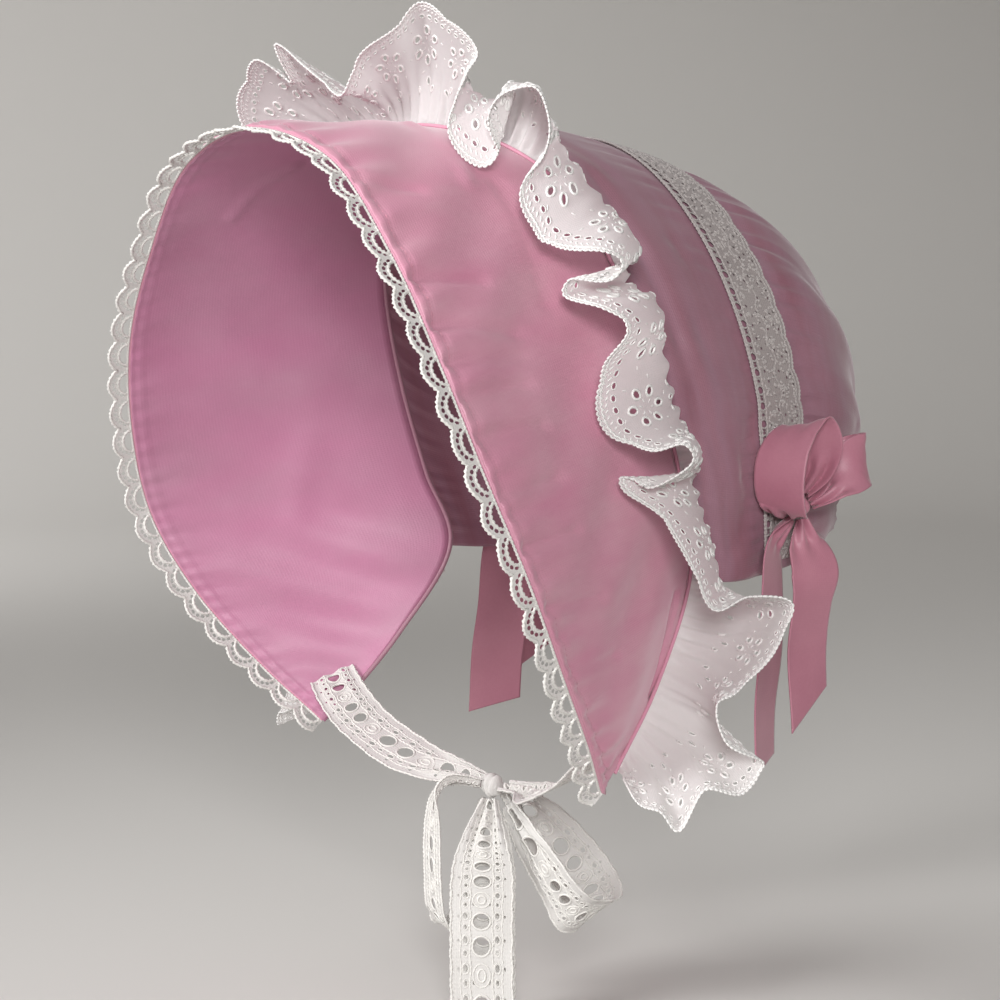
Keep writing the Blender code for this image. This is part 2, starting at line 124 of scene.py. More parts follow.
# Turns of the ruffle's free edge, from the right side over the top to the left tip: the station on
# the seam where the ruffle is sewn, how far its edge is forward, outward and along from there, and
# how far the cloth between them swells up
RUFFLE = table(
    "station forward outward along lift",
    (-1.75, 54, 43, -22, 8),
    (-1.45, 49, 44, -42, 8),
    (-1.22, 39, 33, -27, 8),
    (-1.02, 47, 46, -30, 6),
    (-0.86, 37, 32, -27, 8),
    (-0.70, 30, 15, -32, 8),
    (-0.58, 27, 13, -32, 8),
    (-0.42, 24, 26, -33, 8),
    (-0.20, 18, 36, -30, 8),
    (0.02, 14, 50, 21, 8),
    (0.24, 17, 46, 21, 9),
    (0.42, 19, 36, 24, 11),
    (0.50, 28, 27, 20, 13),
    (0.57, 35, 17, 16, 17),
    (0.66, 42, 5, 14, 19),
    (0.80, 41, -2, 24, 21),
    (0.88, 38, 5, 26, 21),
    (0.94, 38, 19, 16, 21),
    (1.00, 32, 29, 13, 17),
    (1.14, 25, 38, 15, 13),
    (1.30, 29, 32, 19, 11),
    (1.44, 35, 24, 18, 15),
    (1.62, 47, 13, 12, 18),
    (1.86, 49, 10, 16, 18),
    (2.12, 50, 12, 16, 17),
    (2.38, 41, 28, 16, 12),
    (2.50, 36, 30, 18, 11),
    (2.66, 43, 27, 12, 14),
    (2.80, 54, 17, -3, 8),
    (2.92, 55, 12, -5, 8),
    (3.08, 49, 22, -4, 14),
    (3.26, 45, 25, -2, 13),
    (3.50, 52, 13, -5, 14),
    (3.75, 56, 7, -7, 14),
    (4.02, 56, 8, -3, 12),
    (4.20, 50, 20, -3, 9),
    (4.34, 42, 30, -9, 6),
    (4.47, 42, 30, -7, 8),
    (4.63, 53, 16, -10, 12),
    (4.75, 57, 5, -22, 13),
    (4.86, 57, 5, -21, 13),
    (5.10, 50, 12, -24, 10),
    (5.42, 47, 20, -25, 9),
    (5.86, 50, 31, 4, 8),
    (6.07, 41, 44, 5, 8),
    (6.28, 29, 58, 1, 8),
    (6.45, 27, 55, 15, 8),
    (6.65, 31, 47, 27, 9),
    (6.79, 37, 42, 30, 10),
    (6.95, 30, 48, 32, 9),
    (7.12, 16, 61, 21, 8),
    (7.28, 19, 57, 28, 8),
    (7.43, 30, 45, 30, 8),
    (7.58, 23, 40, 39, 6),
    (7.70, 28, 30, 32, 5),
    (7.82, 24, 17, 24, 3),
    (7.94, 16, 2, 8, 1),
)
FAR_SIDE_FROM = 24        # row from which the hidden side repeats the near side
# Ribbon paths: the middle of the ribbon, and the vector across it from edge to edge, which is
# short where the ribbon is bunched at a knot. Bow places are measured from the middle of its knot
BOW_LOOP_UP = table(
    "forward up out wide_forward wide_up wide_out",
    (6.4, 0, 1, 1, 0, 6),
    (12, -2, 6.5, 0, 0, 13),
    (20, 1, 12.6, -3, 0, 23),
    (23, 12, 13.5, -6, 2, 24),
    (21, 24, 13.5, -9, 5, 22),
    (14, 33.5, 13.5, -12, 7, 18),
    (6.5, 36, 13, -14, 2, 17),
    (1.5, 28, 12.5, -15, -5, 17),
    (-0.5, 17.5, 9.5, -11, -3, 13),
    (-0.5, 6.6, 2, -3, 0, 7),
)
BOW_LOOP_BACK = table(
    "forward up out wide_forward wide_up wide_out",
    (-6.1, 1, 1.2, -1, 5, 1),
    (-11, 5.5, 6, -6, 11, -3),
    (-17, 12, 9, -8, 18, -4),
    (-24, 18, 10.5, -5, 22, -4),
    (-30, 21, 9, -1, 21, -3),
    (-32, 21.5, 4, 0, 18, -2),
    (-29, 19, -1, -2, 19, -3),
    (-18, 11, -2, -4, 13, -4),
    (-7.2, 2.6, -2.2, -1, 5, -1),
)
BOW_TAIL_LONG = table(
    "forward up out wide_forward wide_up wide_out",
    (-1.2, -5.4, 1, -7, 0, 1),
    (-2, -16, 3, -20, -1, 2),
    (-5, -28, 6, -24, -2, 4),
    (-4, -42, 6, -25, 0, -3),
    (-1, -62, 6, -25, -1, -4),
    (1, -87, 9, -24, 3, -5),
)
BOW_TAIL_SHORT = table(
    "forward up out wide_forward wide_up wide_out",
    (5, -4.9, 1.2, -3.6, 0, -1.4),
    (15, -16, 3, -19, -2, -11),
    (19, -35, 5, -22, -2, -12),
    (21, -61, 6, -22, -2, -12),
    (24, -84, 7, -22, -2, -12),
    (25, -109, 8, -21, -5, -12),
)
BOW_KNOT = (4.0, 6.0, 5.0)      # half sizes: outward, forward and up
BOW_AT = (5.07, 2.62)           # crown station and section under the knot
BOW_LIFT = 5.8                  # middle of the knot above the crown

TIE_KNOT = (0.0, -78.7, -232.4)
TIE_KNOT_SIZE = (6.0, 5.0, 6.0)   # half sizes: sideways, forward and up
TIE_STRAP = table(
    "x y z wide_x wide_y wide_z",
    (105.5, -95.7, -194.2, -10, 19, 6),
    (93, -96, -204, -6, 23, 6),
    (78, -93, -215, -2, 26, 6),
    (50, -88, -226, 0, 26, 7),
    (24, -77, -231, 0, 13, 4),
    (6.2, -76.5, -232.4, 0, 8, 3),
)
TIE_LOOP_LEFT = table(
    "x y z wide_x wide_y wide_z",
    (2.4, -72.7, -234.3, 0, 5, 5),
    (9, -60, -249, 5, 15, 14),
    (16, -47, -267, 6, 21, 16),
    (23, -42, -279, 9, 19, 18),
    (31, -44, -287, 17, 12, 18),
    (33, -55, -288, 20, 5, 18),
    (30, -63, -279, 22, -3, 17),
    (22, -69, -264, 21, -3, 14),
    (7.6, -75.4, -240.2, 5, 1, 4),
)
TIE_LOOP_RIGHT = table(
    "x y z wide_x wide_y wide_z",
    (-3.7, -82.8, -231.4, 4, -4, 3),
    (-12, -92, -231, 13, -10, 7),
    (-18, -96, -239, 22, -11, 6),
    (-20, -97, -255, 25, -9, 2),
    (-19, -98, -274, 25, -9, 2),
    (-18, -97, -290, 25, -9, 2),
    (-18, -90, -297, 24, -12, -1),
    (-17, -83, -285, 24, -10, 2),
    (-15, -79, -262, 19, -7, 2),
    (-9, -77, -241, 8, -4, 1),
)
TIE_TAIL_FRONT = table(
    "x y z wide_x wide_y wide_z",
    (1.6, -81, -238.3, 5, 4, 0),
    (7, -88, -254, 14, 14, 0),
    (8, -90, -269, 18, 21, 0),
    (10, -92, -295, 19, 21, 0),
    (12, -93, -334, 19, 21, 0),
)
TIE_TAIL_BACK = table(
    "x y z wide_x wide_y wide_z",
    (-1.8, -79.5, -239, 5, 4, 0),
    (4, -84, -254, 14, 14, 0),
    (4, -86, -269, 18, 21, 0),
    (6, -88, -295, 19, 21, 0),
    (8, -89, -330, 19, 21, 0),
)
print("tables:", len(BRIM["rim_x"]), "brim stations,", len(CROWN["top_y"]), "crown sections,",
      len(RUFFLE["station"]), "turns of the frill")

# %% [markdown]
# ## Curves through the tables
# A smooth curve through a few rows is what a pattern cutter draws with a flexible ruler. This one
# is a Catmull-Rom curve. It takes whole arrays of places at once, so a sheet with thousands of
# points needs one call and no loop.


# %% Curves
def along(values, t):
    """Smooth curve through evenly numbered values (numbers or points) at the places t."""
    values = np.asarray(values, float)
    last = len(values) - 1
    t = np.clip(np.asarray(t, float), 0, last)
    i = np.minimum(t.astype(int), last - 1)
    padded = np.concatenate([[2 * values[0] - values[1]], values, [2 * values[-1] - values[-2]]])
    a, b, c, d = (padded[i + n] for n in range(4))
    f = (t - i).reshape(t.shape + (1,) * (values.ndim - 1))
    return 0.5 * (2 * b + (c - a) * f + (2 * a - 5 * b + 4 * c - d) * f ** 2 + (3 * b - a - 3 * c + d) * f ** 3)


def dot(a, b):
    return np.sum(a * b, axis=-1, keepdims=True)


def unit(v):
    return v / np.maximum(np.linalg.norm(v, axis=-1, keepdims=True), 1e-9)


def side_of(station):
    """Factors that mirror a point for a place on the right side, where stations are negative."""
    sign = np.where(np.asarray(station) < 0, -1.0, 1.0)
    return np.stack([sign, np.ones_like(sign), np.ones_like(sign)], -1)


def both_sides(points):
    return np.vstack([points[:0:-1] * [-1.0, 1.0, 1.0], points])


def lengths(line):
    """Distance from a line's start to each of its points."""
    return np.concatenate([[0], np.cumsum(np.linalg.norm(np.diff(line, axis=0), axis=1))])


def waves(x, y, seed, count=5):
    """Smooth unevenness between about -1 and 1 that is the same on each run."""
    draw = np.random.default_rng(seed)
    total = 0
    for _ in range(count):
        angle, phase, size = draw.uniform(0, FULL_TURN), draw.uniform(0, FULL_TURN), draw.uniform(0.5, 1.3)
        total = total + np.sin((x * math.cos(angle) + y * math.sin(angle)) * size + phase)
    return total / count * 1.6


RIM_LINE = both_sides(np.stack([BRIM["rim_x"], BRIM["rim_y"], BRIM["rim_z"]], -1))
BACK_LINE = both_sides(np.stack([BRIM["back_x"], BRIM["back_y"], BRIM["back_z"]], -1))
print("rim", round(lengths(along(RIM_LINE, np.linspace(0, 2 * TIP, 400)))[-1]), "mm, seam",
      round(lengths(along(BACK_LINE, np.linspace(0, 2 * TIP, 400)))[-1]), "mm")

# %% [markdown]
# ## Places on the bonnet
# Two numbers name a place on the brim: the station along the rim, from -8 at the right tip to 8 at
# the left one, and the share of the way from rim to seam. A station and a section do so on the crown.


# %% Places on brim and crown
def rim_at(station):
    return along(RIM_LINE, np.asarray(station) + TIP)


def back_at(station):
    return along(BACK_LINE, np.asarray(station) + TIP)


def seam_frame(station):
    """Places on the seam, and the directions along it to the tip, forward on the brim, and outward."""
    s = np.abs(station)
    step = 0.02
    run = unit(back_at(np.minimum(s + step, TIP)) - back_at(np.maximum(s - step, -TIP)))
    forward = rim_at(s) - back_at(s)
    forward = unit(forward - dot(forward, run) * run)
    outward = unit(np.cross(forward, run))
    return [v * side_of(station) for v in (back_at(s), run, forward, outward)]


def brim_point(station, share):
    """Points of the brim's outer face: share 0 at the rim and 1 at the back."""
    outward = seam_frame(station)[3]
    taper = np.clip((TIP - np.abs(station)) / 2, 0, 1)
    bulge = (BRIM_BULGE * 4 * share * (1 - share) * taper)[..., None]
    share = np.asarray(share)[..., None]
    return rim_at(station) * (1 - share) + back_at(station) * share + outward * bulge


def brim_normal(station, share):
    step = 0.04
    tip = TIP - 2 * step
    s = np.clip(station, -tip, tip)
    m = np.clip(share, step, 1 - step)
    run = brim_point(s + step, m) - brim_point(s - step, m)
    back = brim_point(s, m + step) - brim_point(s, m - step)
    return unit(np.cross(run, back))


def arch(section, s):
    """Points of crown sections, s from 0 at the top to 1 at the left hem."""
    at = {name: along(column, section) for name, column in CROWN.items()}
    angle = 0.5 * math.pi * np.minimum(s / SIDE_SHARE, 1)
    drop = 1 - np.cos(angle)
    high = np.stack([
        at["half_width"] * np.sin(angle),
        at["top_y"] + (at["side_y"] - at["top_y"]) * drop,
        at["top_z"] + (at["side_z"] - at["top_z"]) * drop,
    ], -1)
    low = np.clip((s - SIDE_SHARE) / (1 - SIDE_SHARE), 0, 1)
    side = np.stack([
        at["half_width"] + (at["hem_x"] - at["half_width"]) * low ** 2,
        at["side_y"] + (at["hem_y"] - at["side_y"]) * low,
        at["side_z"] + (at["hem_z"] - at["side_z"]) * low,
    ], -1)
    return np.where((s <= SIDE_SHARE)[..., None], high, side)


def smooth_crown(station, section):
    """The crown without gathers; its first section follows the brim's seam."""
    s = np.abs(station) / CORNER
    hold = np.maximum(0.0, 1 - section / 2)[..., None] ** 2
    p = arch(section, s) + (back_at(np.abs(station)) - arch(np.zeros_like(s), s)) * hold
    return p * side_of(station)


def crown_normal(station, section):
    step = 0.05
    last = len(CROWN["top_y"]) - 1
    across = (smooth_crown(np.minimum(station + step, CORNER), section)
              - smooth_crown(np.maximum(station - step, -CORNER), section))
    back = (smooth_crown(station, np.minimum(section + step, last))
            - smooth_crown(station, np.maximum(section - step, 0)))
    return unit(np.cross(across, back))


# %% [markdown]
# ## Cloth that is drawn flat and then bent
# Lace is cut and stitched flat. Its scallops, eyelets and cords are easy to draw on paper, and hard
# to place on a wavy frill. So a piece is made in two steps. A Bend keeps an even grid of points over
# the flat cut, and tells where any flat point lies on the bonnet and which way the cloth faces
# there. The flat drawing is cut into triangles round its holes, and every corner is sent through
# the Bend.


# %% The bend from flat cloth to its place
class Bend:
    """Where a flat cloth lies: a grid of points over its cut, with length u and width v."""

    def __init__(self, points, length, width):
        self.points = points
        self.length = length
        self.width = width
        run = np.gradient(points, axis=0)
        cross = np.gradient(points, axis=1)
        self.normals = unit(np.cross(run, cross))

    def _blend(self, grid, flat):
        n, m = grid.shape[0] - 1, grid.shape[1] - 1
        u = np.clip(flat[:, 0] / self.length * n, 0, n - 1e-6)
        v = np.clip(flat[:, 1] / self.width * m, 0, m - 1e-6)
        i, j = u.astype(int), v.astype(int)
        fu, fv = (u - i)[:, None], (v - j)[:, None]
        near = grid[i, j] * (1 - fv) + grid[i, j + 1] * fv
        far = grid[i + 1, j] * (1 - fv) + grid[i + 1, j + 1] * fv
        return near * (1 - fu) + far * fu

    def at(self, flat, lift=0.0):
        """Points for flat places, raised above the cloth by lift."""
        flat = np.asarray(flat, float)
        lift = np.broadcast_to(lift, (len(flat),))[:, None]
        return self._blend(self.points, flat) + unit(self._blend(self.normals, flat)) * lift

    def area(self):
        """Area in square metres."""
        a = self.points[1:, 1:] - self.points[:-1, :-1]
        b = self.points[1:, :-1] - self.points[:-1, 1:]
        return float(np.linalg.norm(np.cross(a, b), axis=-1).sum() / 2 * 1e-6)


def level(u, v):
    """Flat places of a line over u, at one height or at a height for each place."""
    return np.stack([u, np.broadcast_to(v, np.shape(u))], -1)


def arc(u, v, wide, high, count):
    """Flat places of an arch from right to left over the point u, v."""
    a = np.linspace(0, math.pi, count)
    return np.stack([u + wide * np.cos(a), v + high * np.sin(a)], -1)


def strip_outline(low, high, steps):
    """Outline of one repeat of a strip, between its lower and upper line, both from left to right."""
    side = np.linspace(low[0, 1], high[0, 1], steps)
    right = level(np.full(steps - 1, low[-1, 0]), side[1:])
    left = level(np.full(steps - 2, low[0, 0]), side[-2:0:-1])
    return np.vstack([low, right, high[::-1][1:], left])


def oval(u, v, wide, high, turn=0.0, sides=8):
    """Corners of an oval in the flat."""
    a = np.arange(sides) / sides * FULL_TURN
    x, y = np.cos(a) * wide / 2, np.sin(a) * high / 2
    c, s = math.cos(turn), math.sin(turn)
    return np.stack([u + x * c - y * s, v + x * s + y * c], -1)


def inside(points, polygon):
    """Which points lie inside a polygon."""
    hit = np.zeros(len(points), bool)
    for a, b in zip(polygon, np.roll(polygon, -1, axis=0)):
        rising = (a[1] > points[:, 1]) != (b[1] > points[:, 1])
        rise = b[1] - a[1] if b[1] != a[1] else 1e-12
        hit ^= rising & (points[:, 0] < (b[0] - a[0]) * (points[:, 1] - a[1]) / rise + a[0])
    return hit


def cut_repeat(outline, holes, spacing):
    """Triangles of one flat repeat: its outline without the holes, with a grid of points inside."""
    low, high = outline.min(axis=0), outline.max(axis=0)
    counts = np.maximum(np.round((high - low) / spacing).astype(int), 1)
    xs = np.linspace(low[0], high[0], counts[0] + 1)[1:-1]
    ys = np.linspace(low[1], high[1], counts[1] + 1)[1:-1]
    fill = np.array([(x + (spacing / 4 if n % 2 else -spacing / 4), y) for n, y in enumerate(ys) for x in xs])
    loops = [outline, *holes]
    room = inside(fill, outline)
    for loop in loops:
        closed = np.vstack([loop, loop[:1]])
        for a, b in zip(closed[:-1], closed[1:]):
            along_edge = np.clip(((fill - a) @ (b - a)) / max((b - a) @ (b - a), 1e-9), 0, 1)
            room &= np.linalg.norm(fill - (a + along_edge[:, None] * (b - a)), axis=1) > spacing * 0.4
    for hole in holes:
        room &= ~inside(fill, hole)
    places = np.vstack([*loops, fill[room]])
    edges, start = [], 0
    for loop in loops:
        edges += [(start + n, start + (n + 1) % len(loop)) for n in range(len(loop))]
        start += len(loop)
    out = delaunay_2d_cdt([Vector(p) for p in places], edges, [], 0, 1e-5)
    places = np.array([tuple(p) for p in out[0]])
    faces = np.array([f for f in out[2] if len(f) == 3])
    middles = places[faces].mean(axis=1)
    keep = inside(middles, outline)
    for hole in holes:
        keep &= ~inside(middles, hole)
    return places, faces[keep]


def lay(cells, pitch):
    """Flat cells side by side, each as its places and faces, joined where they meet."""
    starts = np.cumsum([0] + [len(places) for places, _ in cells[:-1]])
    flat = np.concatenate([places + [n * pitch, 0] for n, (places, _) in enumerate(cells)])
    faces = np.concatenate([cell[1] + start for cell, start in zip(cells, starts)])
    _, first, same = np.unique(np.round(flat, 3), axis=0, return_index=True, return_inverse=True)
    return flat[first], same.reshape(-1)[faces]


def drawn_area(flat, faces):
    """Area of a flat drawing without its holes, in square metres."""
    a, b, c = (flat[faces[:, n]] for n in range(3))
    cross = (b[:, 0] - a[:, 0]) * (c[:, 1] - a[:, 1]) - (b[:, 1] - a[:, 1]) * (c[:, 0] - a[:, 0])
    return float(np.abs(cross).sum() / 2 * 1e-6)


# %% [markdown]
# ## From points to meshes
# Every piece ends as points and faces. One function makes the object and prints its size, and three
# small ones give the faces of a grid, of round cords and of a wall with two faces and an edge.


# %% Meshes from points
def make_piece(name, points, faces, finish, flat=None):
    """An object at the origin with its place in its mesh, and its flat cut as texture places."""
    mesh = bpy.data.meshes.new(name)
    mesh.from_pydata(((np.asarray(points) - SEAT) * MM).tolist(), [], [list(map(int, f)) for f in faces])
    if flat is not None:
        corners = np.zeros(len(mesh.loops), int)
        mesh.loops.foreach_get("vertex_index", corners)
        places = mesh.uv_layers.new(name="cut")
        places.data.foreach_set("uv", (np.asarray(flat, float)[corners] * 0.01).ravel())
    mesh.validate()
    mesh.shade_smooth()
    mesh.materials.append(finish.material)
    piece = bpy.data.objects.new(name, mesh)
    bpy.context.scene.collection.objects.link(piece)
    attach(piece, "root")
    print(name, len(mesh.polygons), "faces,", [round(v * 1000) for v in piece.dimensions], "mm")
    return piece


def grid_faces(rows, columns, start=0, closed=False):
    """Quads between the points of a grid, whose columns may close on themselves."""
    i = np.arange(rows - 1)[:, None]
    j = np.arange(columns if closed else columns - 1)[None, :]
    k = (j + 1) % columns
    quads = np.stack([i * columns + j, i * columns + k, (i + 1) * columns + k, (i + 1) * columns + j], -1)
    return quads.reshape(-1, 4) + start


def rings(line, across, out, radius, sides):
    """Points of the rings round a line, from the two directions across it."""
    turn = (np.arange(sides) / sides * FULL_TURN)[:, None]
    ring = across[..., None, :] * np.cos(turn) + out[..., None, :] * np.sin(turn)
    return (line[..., None, :] + ring * np.asarray(radius)[..., None, None]).reshape(-1, 3)


def tubes(bend, cords, sides=4):
    """Stitched cords that lie on a bent cloth: each is (flat places, radius, lift, closed)."""
    points, faces, start = [], [], 0
    for flat, radius, lift, closed in cords:
        line = bend.at(flat, lift)
        count = len(line)
        if closed:
            ahead = unit(np.roll(line, -1, axis=0) - np.roll(line, 1, axis=0))
        else:
            ahead = unit(np.gradient(line, axis=0))
        out = bend.at(flat, lift + 1.0) - line
        across = unit(np.cross(ahead, out))
        out = np.cross(across, ahead)
        points.append(rings(line, across, out, np.broadcast_to(radius, (count,)), sides))
        body = grid_faces(count, sides, start, closed=True)
        if closed:
            j = np.arange(sides)
            k = (j + 1) % sides
            last = start + (count - 1) * sides
            body = np.vstack([body, np.stack([last + j, last + k, start + k, start + j], -1)])
        faces.append(body)
        start += count * sides
    return np.concatenate(points), np.concatenate(faces)


def wall(front, back, flat):
    """A closed wall between two grids of points and the rim that joins them, with its flat cut."""
    rows, columns = front.shape[:2]
    count = rows * columns
    points = np.concatenate([front.reshape(-1, 3), back.reshape(-1, 3)])
    faces = [grid_faces(rows, columns), grid_faces(rows, columns, count)[:, ::-1]]
    ring = [*range(columns), *[i * columns + columns - 1 for i in range(1, rows)],
            *[(rows - 1) * columns + j for j in range(columns - 2, -1, -1)],
            *[i * columns for i in range(rows - 2, 0, -1)]]
    ring = np.array(ring)
    after = np.roll(ring, -1)
    faces.append(np.stack([after, ring, ring + count, after + count], -1))
    flat = flat.reshape(-1, 2)
    return points, np.concatenate(faces), np.concatenate([flat, flat])


# %% [markdown]
# ## Finishes written as sums
# A finish is a recipe: colour that drifts a little, a weave too fine to model, a soft gloss. Blender
# builds it from nodes. Wired by hand they are hard to read, so one small class wraps a socket and
# takes + - * like a number. Every other node comes from one method, which sets the node's own
# settings first and then fills or links its sockets.


# %% Shader helper
class Shade:
    """A socket of a finish, so that sums on it are written as sums."""

    def __init__(self, finish, socket):
        self.finish = finish
        self.socket = socket

    def _sum(self, operation, a, b):
        return self.finish.node("ShaderNodeMath", {"operation": operation}, {0: a, 1: b})

    def __add__(self, other):
        return self._sum("ADD", self, other)

    def __sub__(self, other):
        return self._sum("SUBTRACT", self, other)

    def __mul__(self, other):
        return self._sum("MULTIPLY", self, other)


class Finish:
    """A material with its Principled shader, its slot, and the method that adds any other node."""

    def __init__(self, name, slot=None, **values):
        self.slot = slot
        self.material = bpy.data.materials.new(name)
        self.material.use_nodes = True
        self.tree = self.material.node_tree
        self.shader = self.tree.nodes["Principled BSDF"]
        self.fill(self.shader, {key.replace("_", " "): value for key, value in values.items()})

    def fill(self, node, values):
        for key, value in values.items():
            if isinstance(value, Shade):
                self.tree.links.new(value.socket, node.inputs[key])
            else:
                node.inputs[key].default_value = value

    def node(self, kind, settings=None, values=None, out=0):
        node = self.tree.nodes.new(kind)
        for key, value in (settings or {}).items():
            setattr(node, key, value)
        self.fill(node, values or {})
        return Shade(self, node.outputs[out])

    def place(self, kind="Object"):
        return self.node("ShaderNodeTexCoord", out=kind)

    def noise(self, size, detail, where=None):
        """Cloudy noise whose blotches are about size metres across."""
        values = {"Vector": where or self.place(), "Scale": 1 / size, "Detail": detail, "Roughness": 0.55}
        return self.node("ShaderNodeTexNoise", None, values)

    def stripes(self, pitch, direction):
        """Waves across the flat cut, pitch in millimetres, for threads and stitches."""
        settings = {"wave_type": "BANDS", "bands_direction": direction, "wave_profile": "SIN"}
        values = {"Vector": self.place("UV"), "Scale": 100 / pitch / math.pi, "Distortion": 0.0, "Detail": 1.0}
        return self.node("ShaderNodeTexWave", settings, values)

    def blend(self, factor, a, b):
        return self.node("ShaderNodeMix", {"data_type": "RGBA"}, {0: factor, 6: a, 7: b}, out=2)

    def relief(self, height, distance, strength):
        bump = self.node("ShaderNodeBump", None, {"Height": height, "Distance": distance, "Strength": strength})
        self.fill(self.shader, {"Normal": bump})

    def soft_light(self, colour, share):
        """Light that shines through thin cloth, as a share of the whole."""
        through = self.node("ShaderNodeBsdfTranslucent", None, {"Color": colour})
        whole = Shade(self, self.shader.outputs[0])
        mixed = self.node("ShaderNodeMixShader", None, {0: share, 1: whole, 2: through})
        self.fill(self.tree.nodes["Material Output"], {"Surface": mixed})


print("finishes can be written as sums")

# %% [markdown]
# ## Pink cloth, satin, cotton and lace
# The outer cloth is a dusty pink with a dull silky bloom, so it gets sheen and a rough gloss. The
# lining and the ribbons are satin, and so are smoother. The frill is white cotton, thin enough that
# the pink under it tints it, so some light passes through. The laces are ivory thread, and their
# grain comes from bumps. Colours drift by a few percent, because no cloth is one flat colour. The
# crown and its lace get darker copies of the pink and the ivory, as painted shade for the shadow
# that the frill casts on them, and soft bands of painted shade and highlight run along the folds.


# %% Finishes
def colour(r, g, b):
    return (r, g, b, 1.0)


def woven(name, slot, light, dark, roughness, sheen, grain, weave, depth, shading_streaks=None):
    """Plain cloth: two close colours in soft clouds, fine grain, a cross weave, and shading bands.

    The grain's size is in metres, the weave's pitch in millimetres and the depth of both in metres.
    The shading bands are long soft bands of painted shade and painted highlight that follow the
    gathers: their colour, how the cut is stretched, the size of the bands and how strong they are.
    """
    finish = Finish(name, slot, Roughness=roughness, Sheen_Weight=sheen, Sheen_Roughness=0.4)
    clouds = finish.noise(0.035, 2.0)
    fine = finish.noise(grain, 2.0)
    threads = finish.stripes(weave, "X") * finish.stripes(weave, "Y")
    tone = (clouds - 0.5) * 1.5 + 0.5 + (fine - 0.5) * 0.35
    cloth = finish.blend(tone, colour(*dark), colour(*light))
    if shading_streaks:
        tint, stretch, size, share = shading_streaks
        stretched = finish.node("ShaderNodeVectorMath", {"operation": "MULTIPLY"},
                                {0: finish.place("UV"), 1: stretch})
        bands = finish.noise(size, 3.0, stretched)
        cloth = finish.blend((bands - 0.5) * share + 0.35, cloth, colour(*tint))
    finish.fill(finish.shader, {"Base Color": cloth})
    finish.relief(fine * 0.6 + threads * 0.4, depth, 0.6)
    return finish


# Its deep pink bands are painted shade in the brim's folds.
pink = woven(
    "pink_cloth", "pink_cloth", (0.68, 0.36, 0.45), (0.57, 0.265, 0.345),
    roughness=0.44, sheen=0.35, grain=0.0011, weave=1.1, depth=0.00022,
    shading_streaks=((0.60, 0.225, 0.34), (1.0, 0.45, 1.0), 0.19, 2.0))
# A darker copy of the brim's pink cloth: painted shade for the frill's shadow on the crown. Its lighter purple
# bands are painted highlight on the gathers.
pink_in_shade = woven(
    "crown_cloth", "pink_cloth", (0.36, 0.17, 0.215), (0.275, 0.11, 0.15),
    roughness=0.5, sheen=0.35, grain=0.0011, weave=1.1, depth=0.00022,
    shading_streaks=((0.37, 0.21, 0.275), (0.14, 1.0, 1.0), 0.13, 1.8))
# Its deeper pink bands are painted shade and painted reflected pink in the satin.
lining = woven(
    "lining_satin", "lining_satin", (0.51, 0.26, 0.36), (0.43, 0.175, 0.275),
    roughness=0.45, sheen=0.25, grain=0.0013, weave=1.1, depth=0.00014,
    shading_streaks=((0.53, 0.19, 0.33), (1.0, 0.5, 1.0), 0.30, 1.5))
satin = woven(
    "bow_satin", "bow_satin", (0.56, 0.245, 0.315), (0.44, 0.16, 0.225),
    roughness=0.46, sheen=0.3, grain=0.0014, weave=1.0, depth=0.0001)
cotton = woven(
    "eyelet_cotton", "eyelet_cotton", (0.91, 0.89, 0.885), (0.84, 0.82, 0.81),
    roughness=0.8, sheen=0.2, grain=0.0010, weave=1.0, depth=0.0002)
ivory = woven(
    "ivory_lace", "ivory_lace", (0.76, 0.745, 0.725), (0.62, 0.60, 0.575),
    roughness=0.82, sheen=0.2, grain=0.0009, weave=1.2, depth=0.00035)
# A darker copy of the ivory lace: painted shade for the frill's shadow on the crown lace.
ivory_in_shade = woven(
    "crown_lace", "ivory_lace", (0.48, 0.43, 0.42), (0.33, 0.285, 0.28),
    roughness=0.85, sheen=0.15, grain=0.0012, weave=1.3, depth=0.0005)
cotton.soft_light(colour(0.92, 0.90, 0.89), 0.4)
ivory.soft_light(colour(0.76, 0.74, 0.71), 0.15)


def thread(name, slot, light, dark):
    """Stitched cord: bright, with a fine twist."""
    finish = Finish(name, slot, Roughness=0.7, Sheen_Weight=0.2, Sheen_Roughness=0.5)
    twist = finish.noise(0.0007, 1.0)
    finish.fill(finish.shader, {"Base Color": finish.blend(twist * 1.4 - 0.2, colour(*dark), colour(*light))})
    finish.relief(twist, 0.0003, 0.7)
    return finish


white_thread = thread("white_thread", "eyelet_cotton", (0.90, 0.89, 0.87), (0.78, 0.76, 0.74))
ivory_thread = thread("ivory_thread", "ivory_lace", (0.82, 0.805, 0.775), (0.66, 0.64, 0.60))
# The crown lace's thread is darker in the same way: painted shade.
thread_in_shade = thread("crown_lace_thread", "ivory_lace", (0.55, 0.505, 0.49), (0.41, 0.37, 0.36))
pink_thread = thread("pink_thread", "pink_cloth", (0.60, 0.29, 0.36), (0.48, 0.19, 0.26))
print("finishes:", [m.name for m in bpy.data.materials if m.use_nodes][-10:])

# %% [markdown]
# ## The brim's two cloths
# The brim is two layers, an outer pink cloth and a satin lining, sewn together along the rim and
# turned. Each is a closed wall between two fine grids. Both follow the same relief, so they never
# cross: a groove where the top stitch pulls the rim in, short puckers beside it, and soft creases
# that run across the brim because the cloth was cut flat and now stands in a curve.

